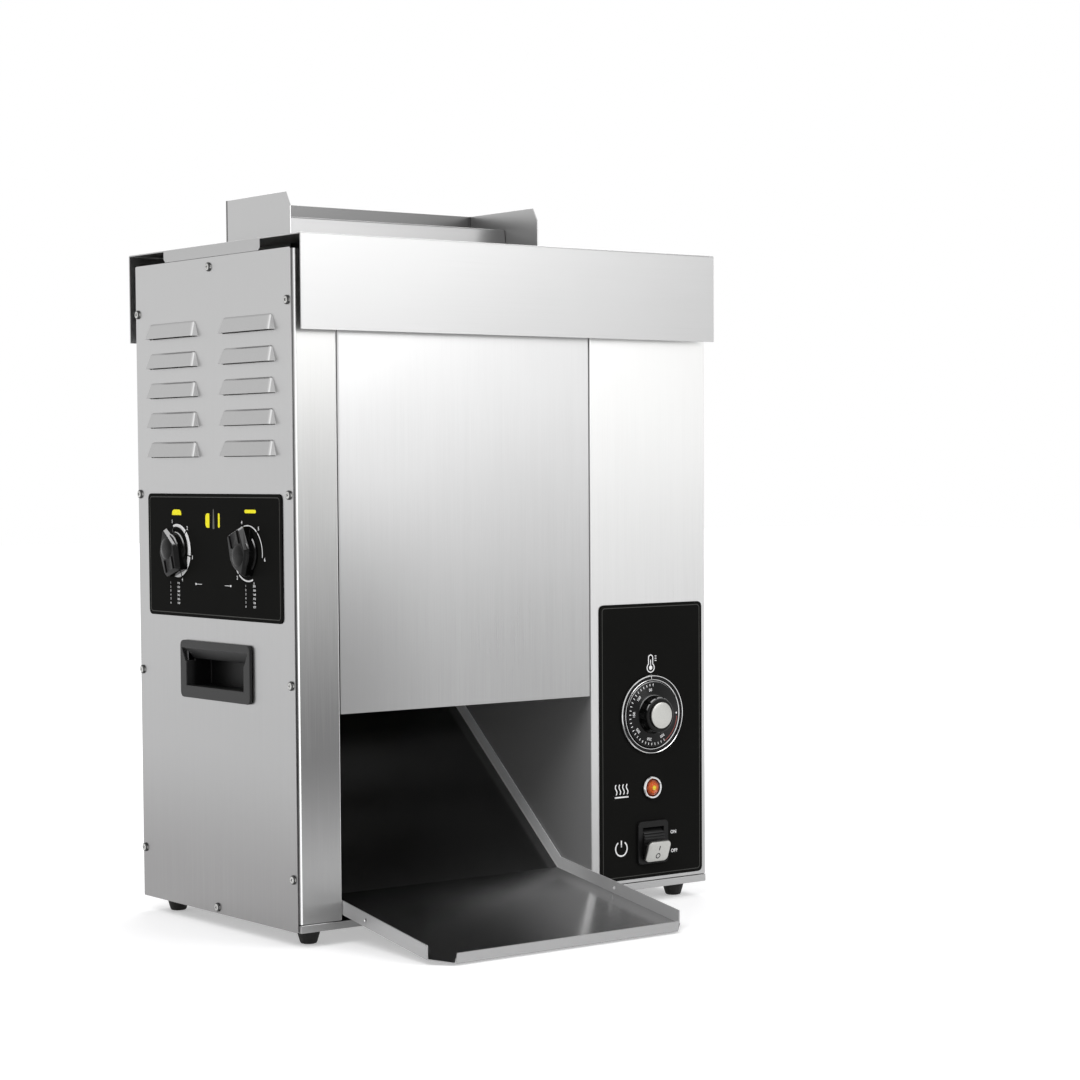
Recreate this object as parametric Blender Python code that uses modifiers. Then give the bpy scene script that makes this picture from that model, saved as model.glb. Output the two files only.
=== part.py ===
"""Vertical bun toaster: a two-lane contact toaster in folded stainless steel.

Buns drop through the feeder on the lid. Two endless rung belts press the halves against an
electric platen and carry them down to a sloping chute. Two knobs set the gap of each lane.

Body frame: X runs to the right along the front from the left side panel, Y runs to the rear
from the front faces, Z runs up from the surface that the feet stand on. Sizes are in metres.
"""
import math

import bmesh
import bpy
from mathutils import Euler, Matrix, Vector

# Casing: driving sizes
BODY_WIDTH = 0.480
BODY_DEPTH = 0.284
BODY_HEIGHT = 0.610
FOOT_HEIGHT = 0.014
SHEET = 0.0012
GAP = 0.0003
SEAM = 0.0007
FOLD_RADIUS = 0.0016
OVERRUN = 0.002
COLUMN_WIDTH = 0.045
CONTROL_BOX_WIDTH = 0.147
RETURN_DEPTH = 0.028
PANEL_SETBACK = 0.004
PANEL_CORNER = 0.0015

# Base pan and feet
PAN_LIP = 0.007
FOOT_INSET = 0.024
FOOT_TOP_RADIUS = 0.0112
FOOT_TOE_RADIUS = 0.0078
FOOT_EDGE = 0.0015

# Lid
LID_RISE = 0.0116
LID_STANDOFF = 0.0129
SKIRT_HEIGHT = 0.0845
SIDE_SKIRT_MARGIN = 0.055
SIDE_SKIRT_CORNER = 0.003

# Front cover over the lane
COVER_BOTTOM = 0.208
COVER_TOP_DROP = 0.004
COVER_RETURN = 0.012

# Louvres: two columns of pressed hoods on each side panel
LOUVRE_FRONT_MARGIN = 0.031
LOUVRE_REAR_MARGIN = 0.025
LOUVRE_BETWEEN = 0.044
LOUVRE_ROWS = 5
LOUVRE_TOP_DROP = 0.071
LOUVRE_FOOT_RISE = 0.0346
LOUVRE_DEPTH = 0.0065
LOUVRE_ROUND = 0.0017
LOUVRE_TOP_DEPTH_SHARE = 0.3
LOUVRE_TOP_LENGTH_SHARE = 0.9
LOUVRE_END_SLOPE_SHARE = 0.35
LOUVRE_SEGMENTS = 2
LOUVRE_PROFILE_SHARE = 0.5

# Recessed handles
HANDLE_SETBACK = 0.003
HANDLE_DROP = 0.049
HANDLE_LENGTH = 0.126
HANDLE_HEIGHT = 0.054
HANDLE_CORNER = 0.005
HANDLE_RIM = 0.0030
HANDLE_RIM_WIDTH = 0.009
HANDLE_LIP_HEIGHT = 0.013
HANDLE_CUP_DEPTH = 0.026
HANDLE_WALL = 0.0020
HANDLE_GRIP_DEPTH = 0.012

# Black control plates
PLATE_THICKNESS = 0.0008
PLATE_CORNER = 0.005
SIDE_PLATE_FRONT_MARGIN = 0.0215
SIDE_PLATE_REAR_MARGIN = 0.0205
SIDE_PLATE_HEIGHT = 0.116
SIDE_PLATE_DROP = 0.004
FRONT_PLATE_WIDTH = 0.130
FRONT_PLATE_HEIGHT = 0.270
FRONT_PLATE_RIGHT_MARGIN = 0.007
FRONT_PLATE_BOTTOM = 0.0250

# Platen with its heating element
PLATEN_SETBACK = 0.008
PLATEN_THICKNESS = 0.024
PLATEN_FACE = 0.0068
PLATEN_RISE_SHARE = 0.488525
PLATEN_DROP = 0.052
PLATEN_FRAME_BAR = 0.014
PLATEN_EDGE = 0.002
ELEMENT_RADIUS = 0.004
ELEMENT_PASSES = 6
ELEMENT_END_MARGIN = 0.040
ELEMENT_TERMINAL = 0.018
ELEMENT_SIDE_MARGIN = 0.012
ELEMENT_ARC_STEPS = 5

# Rung belts
RUNG_PITCH = 0.01613
RUNG_RADIUS = 0.0015
RUNG_SIDES = 5
SPROCKET_TEETH = 8
BAND_THICKNESS = 0.005
BAND_WIDTH = 0.003
BELT_MARGIN = 0.013
BELT_DROP = 0.012
BASE_LANE = 0.055
CROWN_LANE = 0.074
SPROCKET_THICKNESS = 0.004
SPROCKET_SIDE_GAP = 0.004
TOOTH_DEPTH = 0.003
RUNG_PHASE_SHARE = 0.5
BELT_SHAFT_RADIUS = 0.006
BAND_ARC_STEPS = 10

# Pressure plates and their cams
PLATE_SHEET = 0.0015
PRESS_PLATE_RISE = 0.018
PRESS_PLATE_DROP = 0.046
PRESS_PLATE_FLANGE = 0.006
PRESS_BAR = 0.006
PRESS_BAR_RISE = 0.055
PRESS_BAR_DROP = 0.026
PRESS_REACH = 0.003
PRESS_SEAT = 0.0005
PRESS_TRAVEL = 0.008
CAM_SHAFT_RADIUS = 0.004
CAM_THICKNESS = 0.008
CAM_INSET = 0.060
CAM_SWEEP = math.radians(300.0)
CAM_STEPS = 18
KNOB_RISE = 0.040
BASE_KNOB_SHIFT = 0.001
CROWN_KNOB_SHIFT = 0.0005
CROWN_POINTER = math.radians(105.0)
BASE_POINTER = math.radians(-80.0)

# Knobs
KNOB_SKIRT_RADIUS = 0.0180
KNOB_SKIRT_HEIGHT = 0.0030
KNOB_BODY_RADIUS = 0.0165
KNOB_BODY_HEIGHT = 0.009
KNOB_HEIGHT = 0.013
KNOB_BAR_LENGTH = 0.044
KNOB_BAR_WIDTH = 0.026
KNOB_BAR_TOP_WIDTH = 0.017
KNOB_NOSE = 0.018
KNOB_EDGE = 0.0015

# Bushes
BUSH_RADIUS = 0.0095
BUSH_FLANGE_RADIUS = 0.013
BUSH_FLANGE = 0.0025
BUSH_LENGTH = 0.006
SHAFT_END = 0.010

# Thermostat
DIAL_SHIFT = 0.001
DIAL_CENTRE_Z = 0.186
BEZEL_RADIUS = 0.0390
BEZEL_INNER_RADIUS = 0.0335
BEZEL_HEIGHT = 0.0036
DIAL_RADIUS = 0.0325
DIAL_FLANGE = 0.0034
DIAL_GRIP_RADIUS = 0.0190
DIAL_GRIP_TOP_RADIUS = 0.0172
DIAL_HEIGHT = 0.0145
DIAL_FLUTES = 12
DIAL_FLUTE_RADIUS = 0.0016
DIAL_FLUTE_PHASE_SHARE = 0.5
CAP_RADIUS = 0.0130
CAP_HEIGHT = 0.0022
DIAL_SWEEP = math.radians(270.0)
STEM_RADIUS = 0.003
THERMOSTAT_SIZE = (0.036, 0.030, 0.036)

# Pilot lamp
LAMP_CENTRE_Z = 0.1138
LAMP_BEZEL_RADIUS = 0.0115
LAMP_BEZEL_HEIGHT = 0.0035
LAMP_LENS_RADIUS = 0.0083
LAMP_LENS_HEIGHT = 0.0055
LAMP_BARREL = 0.016
LAMP_FACETS = 12

# Paddle switch
SWITCH_CENTRE_Z = 0.0600
SWITCH_WIDTH = 0.038
SWITCH_HEIGHT = 0.042
SWITCH_RIM = 0.0030
SWITCH_CORNER = 0.004
SWITCH_WELL = (0.0134, 0.0150)
SWITCH_TAIL = (0.0155, 0.0202)
SWITCH_WALL = 0.0016
SWITCH_DEPTH = 0.024
PADDLE_PIVOT_DEPTH = 0.013
PADDLE_DRUM_RADIUS = 0.0182
PADDLE_DRUM_HALF_ANGLE = math.radians(68.0)
PADDLE_DRUM_STEPS = 12
PADDLE_HUB = 0.003
PADDLE_STEM = 0.0100
PADDLE_REACH = 0.0222
PADDLE_SWING = math.radians(20.0)
PADDLE_CAP = (0.028, 0.0215)
PADDLE_CAP_THICKNESS = 0.0035
PADDLE_CAP_CORNER = 0.004

# Chute and tray in one sheet
TRAY_REACH = 0.150
TRAY_TOE = 0.0010
TRAY_SLOPE = math.radians(9.5)
CHUTE_SLOPE = math.radians(41.0)
CHUTE_FOLD_Y = 0.053
CHUTE_BACK_GAP = 0.042
CHUTE_FLANGE = 0.0126
TRAY_FRONT_FLANGE = 0.0102
TRAY_CORNER_CUT = 0.018
TRAY_HOLE_RADIUS = 0.002
TRAY_HOLE_Y = -0.036

# Feeder on the lid
FEEDER_HEEL_REACH = 0.0565
FEEDER_CROWN_REACH = 0.057
FEEDER_MARGIN = 0.0015
FEEDER_RISE = 0.0464
FEEDER_FRONT_RISE = 0.006
FEEDER_THROAT_DROP = 0.024
FEEDER_RIM = 0.008
FEEDER_EAR_CUT = (0.0075, 0.0130)
FEEDER_GUIDE_SHIFT = 0.0225
FEEDER_GUIDE_DROP = 0.020
DIVIDER_CLEARANCE = 0.0175
DIVIDER_TOP_DROP = 0.0175
DIVIDER_RIDGE = 0.007
DIVIDER_SHOULDER_DROP = 0.010
DIVIDER_SHOULDER = 0.010
DIVIDER_FOOT = 0.022

# Drive
DRIVE_X = 0.014
CHAIN_WIDTH = 0.006
CHAIN_THICKNESS = 0.0045
CHAIN_SPROCKET_RADIUS = 0.0185
CHAIN_SPROCKET_TEETH = 13
CHAIN_TOOTH = 0.0018
CHAIN_IDLER_RADIUS = 0.0125
CHAIN_IDLER_TEETH = 9
CHAIN_IDLER_MARGIN = 0.0265
CHAIN_IDLER_RISE = 0.035
CHAIN_ARC_STEPS = 8
MOTOR_FORWARD = 0.023
MOTOR_Z = 0.080
MOTOR_SHAFT_RADIUS = 0.005
GEARBOX_SIZE = (0.040, 0.066, 0.084)
MOTOR_RADIUS = 0.030
MOTOR_LENGTH = 0.040
MOTOR_FOOT = (0.050, 0.090, 0.006)
MOTOR_GAP = 0.010

# Cord inlet at the rear
GLAND_INSET = 0.050
GLAND_Z = 0.070
GLAND_RADIUS = 0.0105
GLAND_FLANGE_RADIUS = 0.0135
GLAND_HEIGHT = 0.008
GLAND_BORE = 0.0045
GLAND_TAIL = 0.008

# Levels and planes that follow from the sizes above
PAN_Z = FOOT_HEIGHT
BODY_TOP = PAN_Z + BODY_HEIGHT
FRAME_BOTTOM = PAN_Z + PAN_LIP + SEAM
FRAME_TOP = BODY_TOP - SHEET
LID_TOP = BODY_TOP + LID_RISE
SKIRT_BOTTOM = LID_TOP - SKIRT_HEIGHT
SKIN_LEFT = SHEET + GAP
SKIN_RIGHT = BODY_WIDTH - SHEET - GAP
LANE_LEFT = COLUMN_WIDTH
LANE_RIGHT = BODY_WIDTH - CONTROL_BOX_WIDTH
LANE_CENTRE = (LANE_LEFT + LANE_RIGHT) / 2.0
REAR_INNER = BODY_DEPTH - SHEET - GAP
LEFT_WALL_INNER = LANE_LEFT - SHEET
RIGHT_WALL_OUTER = LANE_RIGHT + SHEET
MIDDLE_Y = BODY_DEPTH / 2.0
PLATEN_CENTRE_Y = MIDDLE_Y - PLATEN_SETBACK
PLATEN_FRONT = PLATEN_CENTRE_Y - PLATEN_THICKNESS / 2.0
PLATEN_REAR = PLATEN_CENTRE_Y + PLATEN_THICKNESS / 2.0
PLATEN_BOTTOM = PAN_Z + BODY_HEIGHT * PLATEN_RISE_SHARE
PLATEN_TOP = BODY_TOP - PLATEN_DROP
PLATEN_HEIGHT = PLATEN_TOP - PLATEN_BOTTOM
ELEMENT_PITCH = (PLATEN_HEIGHT - 2.0 * ELEMENT_END_MARGIN) / (ELEMENT_PASSES - 1)
BASE_BELT_Y = PLATEN_CENTRE_Y - BASE_LANE
CROWN_BELT_Y = PLATEN_CENTRE_Y + CROWN_LANE
STRAIGHT_PITCHES = round(PLATEN_HEIGHT / RUNG_PITCH)
BELT_RADIUS = SPROCKET_TEETH * RUNG_PITCH / (2.0 * math.pi)
BELT_SPAN = STRAIGHT_PITCHES * RUNG_PITCH
BELT_BOTTOM_Z = PLATEN_BOTTOM - BELT_DROP
BELT_TOP_Z = BELT_BOTTOM_Z + BELT_SPAN
PRESS_PLATE_BOTTOM = PLATEN_BOTTOM + PRESS_PLATE_RISE
PRESS_PLATE_TOP = PLATEN_TOP - PRESS_PLATE_DROP
PRESS_BAR_HEIGHTS = (PRESS_PLATE_BOTTOM + PRESS_BAR_RISE, PRESS_PLATE_TOP - PRESS_BAR_DROP)
KNOB_Z = PLATEN_BOTTOM + KNOB_RISE
BASE_KNOB_Y = BASE_BELT_Y + BASE_KNOB_SHIFT
CROWN_KNOB_Y = CROWN_BELT_Y + CROWN_KNOB_SHIFT
SIDE_PLATE_TOP = KNOB_Z - SIDE_PLATE_DROP + SIDE_PLATE_HEIGHT / 2.0
SIDE_PLATE_BOTTOM = SIDE_PLATE_TOP - SIDE_PLATE_HEIGHT
LOUVRE_TOP = BODY_TOP - LOUVRE_TOP_DROP
LOUVRE_PITCH = (LOUVRE_TOP - SIDE_PLATE_TOP - LOUVRE_FOOT_RISE) / (LOUVRE_ROWS - 1)
LOUVRE_HEIGHT = LOUVRE_PITCH / 2.0
LOUVRE_LENGTH = (BODY_DEPTH - LOUVRE_FRONT_MARGIN - LOUVRE_REAR_MARGIN - LOUVRE_BETWEEN) / 2.0
LOUVRE_CENTRES_Y = (
    BODY_DEPTH - LOUVRE_REAR_MARGIN - LOUVRE_LENGTH / 2.0,
    LOUVRE_FRONT_MARGIN + LOUVRE_LENGTH / 2.0,
)
HANDLE_CENTRE_Y = MIDDLE_Y - HANDLE_SETBACK
HANDLE_CENTRE_Z = SIDE_PLATE_BOTTOM - HANDLE_DROP
DRIVE_PLANE = RIGHT_WALL_OUTER + DRIVE_X
HANDLE_CUT_LENGTH = HANDLE_LENGTH - 2.0 * HANDLE_RIM_WIDTH
HANDLE_CUT_HEIGHT = HANDLE_HEIGHT - 2.0 * HANDLE_RIM_WIDTH
FRONT_PLATE_CENTRE_X = BODY_WIDTH - FRONT_PLATE_RIGHT_MARGIN - FRONT_PLATE_WIDTH / 2.0
DIAL_CENTRE_X = FRONT_PLATE_CENTRE_X - DIAL_SHIFT
FEEDER_FRONT = PLATEN_CENTRE_Y - FEEDER_HEEL_REACH
FEEDER_REAR = PLATEN_CENTRE_Y + FEEDER_CROWN_REACH
CHAIN_IDLER_Y = REAR_INNER - CHAIN_IDLER_MARGIN
CHAIN_IDLER_Z = BELT_BOTTOM_Z + CHAIN_IDLER_RISE
MOTOR_Y = CROWN_BELT_Y - MOTOR_FORWARD
GLAND_X = BODY_WIDTH - GLAND_INSET

# Placing: the part's origin is at the middle of its footprint, on the ground
TRAY_LEAN = TRAY_FRONT_FLANGE * math.sin(TRAY_SLOPE)
REACH_LEFT = -(PLATE_THICKNESS + GAP + GAP + KNOB_HEIGHT)
REACH_RIGHT = BODY_WIDTH + LOUVRE_DEPTH
REACH_FRONT = -(TRAY_REACH + TRAY_LEAN)
REACH_REAR = BODY_DEPTH + LID_STANDOFF
ORIGIN_X = (REACH_LEFT + REACH_RIGHT) / 2.0
ORIGIN_Y = (REACH_FRONT + REACH_REAR) / 2.0

ROUND_STEPS = 24
SMALL_STEPS = 12
TINY_STEPS = 8
SHARP_ANGLE = math.radians(35.0)
FOLD_STEPS = 3
MERGE = 0.00001

for stale in list(bpy.data.objects):
    bpy.data.objects.remove(stale, do_unlink=True)

PARTS = bpy.data.collections.new("vertical_toaster")
CUTTERS = bpy.data.collections.new("cutters")
bpy.context.scene.collection.children.link(PARTS)
bpy.context.scene.collection.children.link(CUTTERS)

BODY_FRAME = bpy.data.objects.new("body_frame", None)
BODY_FRAME.location = (-ORIGIN_X, -ORIGIN_Y, 0.0)
PARTS.objects.link(BODY_FRAME)

# Axes of the three drawing planes: how a flat (u, v) outline and its thickness w lie in the body
PLANES = {
    "XY": Matrix(((1, 0, 0), (0, 1, 0), (0, 0, 1))),
    "XZ": Matrix(((1, 0, 0), (0, 0, -1), (0, 1, 0))),
    "YZ": Matrix(((0, 0, 1), (1, 0, 0), (0, 1, 0))),
}
FACING = {
    "left": Euler((0.0, -math.pi / 2.0, 0.0)),
    "front": Euler((math.pi / 2.0, 0.0, 0.0)),
    "rear": Euler((-math.pi / 2.0, 0.0, 0.0)),
    "right": Euler((0.0, math.pi / 2.0, 0.0)),
    "up": Euler((0.0, 0.0, 0.0)),
}


def material(name, colour, roughness, metallic):
    """A Principled material with the piece's colour."""
    made = bpy.data.materials.new(name)
    made.use_nodes = True
    shader = made.node_tree.nodes["Principled BSDF"]
    shader.inputs["Base Color"].default_value = (*colour, 1.0)
    shader.inputs["Roughness"].default_value = roughness
    shader.inputs["Metallic"].default_value = metallic
    made.diffuse_color = (*colour, 1.0)
    return made


FINISHES = {
    "brushed": ((0.62, 0.62, 0.61), 0.32, 1.0),
    "zinc": ((0.50, 0.51, 0.52), 0.45, 1.0),
    "coated": ((0.030, 0.030, 0.031), 0.50, 0.0),
    "black_plastic": ((0.020, 0.020, 0.020), 0.42, 0.0),
    "printed": ((0.013, 0.013, 0.012), 0.35, 0.0),
    "chrome": ((0.80, 0.80, 0.80), 0.12, 1.0),
    "silver": ((0.70, 0.70, 0.70), 0.25, 1.0),
    "amber": ((0.85, 0.28, 0.04), 0.15, 0.0),
    "aluminium": ((0.66, 0.66, 0.67), 0.38, 1.0),
    "element": ((0.14, 0.13, 0.13), 0.55, 1.0),
    "rubber": ((0.018, 0.018, 0.018), 0.75, 0.0),
    "bronze": ((0.55, 0.38, 0.20), 0.40, 1.0),
}


def dress(obj, finish):
    """Gives a sub-part its own material in one of the finishes."""
    colour, roughness, metallic = FINISHES[finish]
    obj.data.materials.clear()
    obj.data.materials.append(material(obj.name, colour, roughness, metallic))
    return obj


def shade(mesh):
    """Smooth round faces with sharp folds."""
    mesh.shade_smooth()
    mesh.set_sharp_from_angle(angle=SHARP_ANGLE)


def adopt(name, mesh, location=(0.0, 0.0, 0.0), rotation=None):
    """A new object of the toaster, placed in the body frame."""
    shade(mesh)
    obj = bpy.data.objects.new(name, mesh)
    PARTS.objects.link(obj)
    obj.parent = BODY_FRAME
    obj.location = location
    if rotation is not None:
        obj.rotation_euler = rotation
    return obj


def from_bmesh(name, bm, location=(0.0, 0.0, 0.0), rotation=None):
    """Turns a bmesh into an object."""
    mesh = bpy.data.meshes.new(name)
    bmesh.ops.recalc_face_normals(bm, faces=bm.faces)
    bm.to_mesh(mesh)
    bm.free()
    return adopt(name, mesh, location, rotation)


def block(name, low, high, edge=0.0, location=(0.0, 0.0, 0.0), rotation=None):
    """A box between two corners, with its edges broken if edge is given."""
    bm = bmesh.new()
    bmesh.ops.create_cube(bm, size=1.0)
    size = [b - a for a, b in zip(low, high)]
    middle = [(a + b) / 2.0 for a, b in zip(low, high)]
    bmesh.ops.scale(bm, vec=size, verts=bm.verts)
    bmesh.ops.translate(bm, vec=middle, verts=bm.verts)
    if edge > 0.0:
        bmesh.ops.bevel(bm, geom=list(bm.edges), offset=edge, segments=1, affect="EDGES")
    return from_bmesh(name, bm, location, rotation)


def rod(name, radius, length, facing, start, steps=SMALL_STEPS):
    """A round bar from its start point, running the way it faces."""
    bm = bmesh.new()
    bmesh.ops.create_cone(bm, cap_ends=True, segments=steps, radius1=radius, radius2=radius, depth=length)
    bmesh.ops.translate(bm, vec=(0.0, 0.0, length / 2.0), verts=bm.verts)
    return from_bmesh(name, bm, start, FACING[facing])


def turned(name, profile, steps, location=(0.0, 0.0, 0.0), rotation=None):
    """A turned piece: the profile of (radius, height) points runs down its outer side."""
    mesh = bpy.data.meshes.new(name)
    points = [(radius, 0.0, height) for radius, height in profile]
    closed = profile[0][0] > 0.0
    edges = [(i, i + 1) for i in range(len(points) - 1)]
    if closed:
        edges.append((len(points) - 1, 0))
    mesh.from_pydata(points, edges, [])
    obj = adopt(name, mesh, location, rotation)
    screw = obj.modifiers.new("Screw", "SCREW")
    screw.steps = steps
    screw.render_steps = steps
    screw.use_merge_vertices = True
    screw.merge_threshold = MERGE
    screw.use_smooth_shade = True
    return obj


def outline_mesh(name, loops, thickness, cyclic=True):
    """The mesh of a flat outline, with its inner loops left open, by a filled 2D curve."""
    curve = bpy.data.curves.new(name, "CURVE")
    curve.dimensions = "2D"
    curve.fill_mode = "BOTH"
    curve.extrude = thickness / 2.0
    for loop in loops:
        spline = curve.splines.new("POLY")
        spline.points.add(len(loop) - 1)
        for point, (u, v) in zip(spline.points, loop):
            point.co = (u, v, 0.0, 1.0)
        spline.use_cyclic_u = cyclic
    return mesh_of_curve(name, curve)


def mesh_of_curve(name, curve):
    """A closed mesh of a curve, with its caps welded on."""
    guide = bpy.data.objects.new(name, curve)
    bpy.context.scene.collection.objects.link(guide)
    graph = bpy.context.evaluated_depsgraph_get()
    mesh = bpy.data.meshes.new_from_object(guide.evaluated_get(graph))
    bpy.data.objects.remove(guide, do_unlink=True)
    bm = bmesh.new()
    bm.from_mesh(mesh)
    bmesh.ops.remove_doubles(bm, verts=bm.verts, dist=MERGE)
    bmesh.ops.recalc_face_normals(bm, faces=bm.faces)
    bm.to_mesh(mesh)
    bm.free()
    return mesh


def plate(name, plane, loops, start, thickness, location=(0.0, 0.0, 0.0), rotation=None):
    """A flat plate in a drawing plane, from start up along the plane's thickness axis."""
    mesh = outline_mesh(name, loops, thickness)
    axes = PLANES[plane]
    middle = start + thickness / 2.0
    if plane == "XZ":
        middle = -middle
    mesh.transform(Matrix.Translation(axes @ Vector((0.0, 0.0, middle))) @ axes.to_4x4())
    return adopt(name, mesh, location, rotation)


def rounded(points, radius, steps=FOLD_STEPS, closed=True):
    """An outline with every inner corner turned into an arc."""
    made = []
    count = len(points)
    for index, here in enumerate(points):
        corner = Vector(here)
        if not closed and index in (0, count - 1):
            made.append(tuple(corner))
            continue
        back = (Vector(points[index - 1]) - corner).normalized()
        ahead = (Vector(points[(index + 1) % count]) - corner).normalized()
        half = back.angle(ahead) / 2.0
        reach = radius / math.tan(half)
        centre = corner + (back + ahead).normalized() * (radius / math.sin(half))
        start = corner + back * reach - centre
        finish = corner + ahead * reach - centre
        for step in range(steps + 1):
            share = step / steps
            way = start.normalized().slerp(finish.normalized(), share)
            made.append(tuple(centre + way * radius))
    return made


def rectangle(low_u, high_u, low_v, high_v):
    """The four corners of an upright rectangle."""
    return [(low_u, low_v), (high_u, low_v), (high_u, high_v), (low_u, high_v)]


def circle(centre_u, centre_v, radius, steps=SMALL_STEPS):
    """A round loop for an outline."""
    turn = 2.0 * math.pi / steps
    return [
        (centre_u + radius * math.cos(turn * i), centre_v + radius * math.sin(turn * i))
        for i in range(steps)
    ]


def folded(name, plane, path, start, length, thickness=SHEET, fold=FOLD_RADIUS):
    """Folded sheet: the path is its outer face, and the metal lies on the path's left."""
    run = rounded(path, fold, closed=False)
    axes = PLANES[plane]
    depth = -start if plane == "XZ" else start
    reach = -length if plane == "XZ" else length
    bm = bmesh.new()
    verts = [bm.verts.new(axes @ Vector((u, v, depth))) for u, v in run]
    edges = [bm.edges.new((verts[i], verts[i + 1])) for i in range(len(verts) - 1)]
    swept = bmesh.ops.extrude_edge_only(bm, edges=edges)["geom"]
    moved = [item for item in swept if isinstance(item, bmesh.types.BMVert)]
    bmesh.ops.translate(bm, vec=axes @ Vector((0.0, 0.0, reach)), verts=moved)
    heading = Vector(run[1]) - Vector(run[0])
    right_hand = axes @ Vector((heading.y, -heading.x, 0.0))
    bm.normal_update()
    bm.faces.ensure_lookup_table()
    first = min(bm.faces, key=lambda face: (face.calc_center_median() - verts[0].co).length)
    if first.normal.dot(right_hand) < 0.0:
        bmesh.ops.reverse_faces(bm, faces=bm.faces)
    mesh = bpy.data.meshes.new(name)
    bm.to_mesh(mesh)
    bm.free()
    obj = adopt(name, mesh)
    solid = obj.modifiers.new("Solidify", "SOLIDIFY")
    solid.thickness = thickness
    solid.offset = -1.0
    solid.use_even_offset = True
    return obj


def boolean(obj, tool, operation):
    """Joins or cuts with a tool that is kept out of the part."""
    step = obj.modifiers.new(tool.name, "BOOLEAN")
    step.operation = operation
    step.solver = "EXACT"
    step.object = tool
    PARTS.objects.unlink(tool)
    CUTTERS.objects.link(tool)
    tool.hide_render = True
    tool.display_type = "WIRE"
    return obj


def join(obj, *tools):
    """Makes tools one body with the piece."""
    for tool in tools:
        boolean(obj, tool, "UNION")
    return obj


def cut(obj, *tools):
    """Takes tools out of the piece."""
    for tool in tools:
        boolean(obj, tool, "DIFFERENCE")
    return obj


def hole(name, radius, facing, start, length, steps=SMALL_STEPS):
    """A round cutter that overruns both faces."""
    way = Vector((0.0, 0.0, 1.0))
    way.rotate(FACING[facing])
    return rod(name, radius, length + 2.0 * OVERRUN, facing, Vector(start) - way * OVERRUN, steps)


def wall_openings(wall, low, high):
    """The holes that both inner walls share: belt shafts, cam shafts and pressure bar slots."""
    width = high - low
    for tag, belt_y, cam_y, side, pointer in LANES:
        for level, z in (("drive", BELT_BOTTOM_Z), ("idler", BELT_TOP_Z)):
            name = f"{wall.name}_{tag}_{level}_hole"
            cut(wall, hole(name, BUSH_RADIUS + GAP, "right", (low, belt_y, z), width))
        name = f"{wall.name}_{tag}_cam_hole"
        cut(wall, hole(name, CAM_SHAFT_RADIUS + GAP, "right", (low, cam_y, KNOB_Z), width))
        back = press_back(belt_y, side)
        reached = (back - side * (PRESS_TRAVEL + PRESS_SEAT + GAP), back + side * (PRESS_BAR + GAP))
        low_y, high_y = sorted(reached)
        for z in PRESS_BAR_HEIGHTS:
            slot = block(
                f"{wall.name}_{tag}_slot_{z:.3f}",
                (low - OVERRUN, low_y, z - PRESS_BAR / 2.0 - GAP),
                (high + OVERRUN, high_y, z + PRESS_BAR / 2.0 + GAP),
            )
            cut(wall, slot)


# Each lane: name, belt centre, cam shaft, which way is away from the platen, where its knob points
LANES = (
    ("base", BASE_BELT_Y, BASE_KNOB_Y, -1.0, BASE_POINTER),
    ("crown", CROWN_BELT_Y, CROWN_KNOB_Y, 1.0, CROWN_POINTER),
)


def press_face(belt_y, side):
    """Y of the face of a pressure plate that backs the rungs, with its knob at the widest setting."""
    return belt_y - side * (BELT_RADIUS - RUNG_RADIUS - GAP - PRESS_TRAVEL)


def press_back(belt_y, side):
    """Y of a pressure plate's back, where its bars and cams bear."""
    return press_face(belt_y, side) + side * PLATE_SHEET


def make_base_pan():
    """Shallow pan that the whole body stands in."""
    pan = block("base_pan", (SKIN_LEFT, 0.0, PAN_Z), (SKIN_RIGHT, BODY_DEPTH, PAN_Z + PAN_LIP))
    inside = block(
        "pan_inside",
        (SKIN_LEFT + SHEET, SHEET, PAN_Z + SHEET),
        (SKIN_RIGHT - SHEET, BODY_DEPTH - SHEET, PAN_Z + PAN_LIP + OVERRUN),
    )
    dress(cut(pan, inside), "brushed")


def make_feet():
    """Four tapered rubber feet under the pan."""
    top = FOOT_HEIGHT - GAP
    profile = [
        (0.0, top),
        (FOOT_TOP_RADIUS, top),
        (FOOT_TOP_RADIUS, top - FOOT_EDGE),
        (FOOT_TOE_RADIUS, FOOT_EDGE),
        (FOOT_TOE_RADIUS - FOOT_EDGE, 0.0),
        (0.0, 0.0),
    ]
    for depth_name, y in (("front", FOOT_INSET), ("rear", BODY_DEPTH - FOOT_INSET)):
        for side_name, x in (("left", FOOT_INSET), ("right", BODY_WIDTH - FOOT_INSET)):
            foot = turned(f"foot_{depth_name}_{side_name}", profile, SMALL_STEPS, (x, y, 0.0))
            dress(foot, "rubber")


def make_left_frame():
    """Front column and left inner wall of the lane, in one folded sheet."""
    path = [(SKIN_LEFT, RETURN_DEPTH), (SKIN_LEFT, 0.0), (LANE_LEFT, 0.0), (LANE_LEFT, REAR_INNER)]
    frame = folded("left_frame", "XY", path, FRAME_BOTTOM, FRAME_TOP - FRAME_BOTTOM)
    wall_openings(frame, LEFT_WALL_INNER, LANE_LEFT)
    dress(frame, "brushed")


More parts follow.
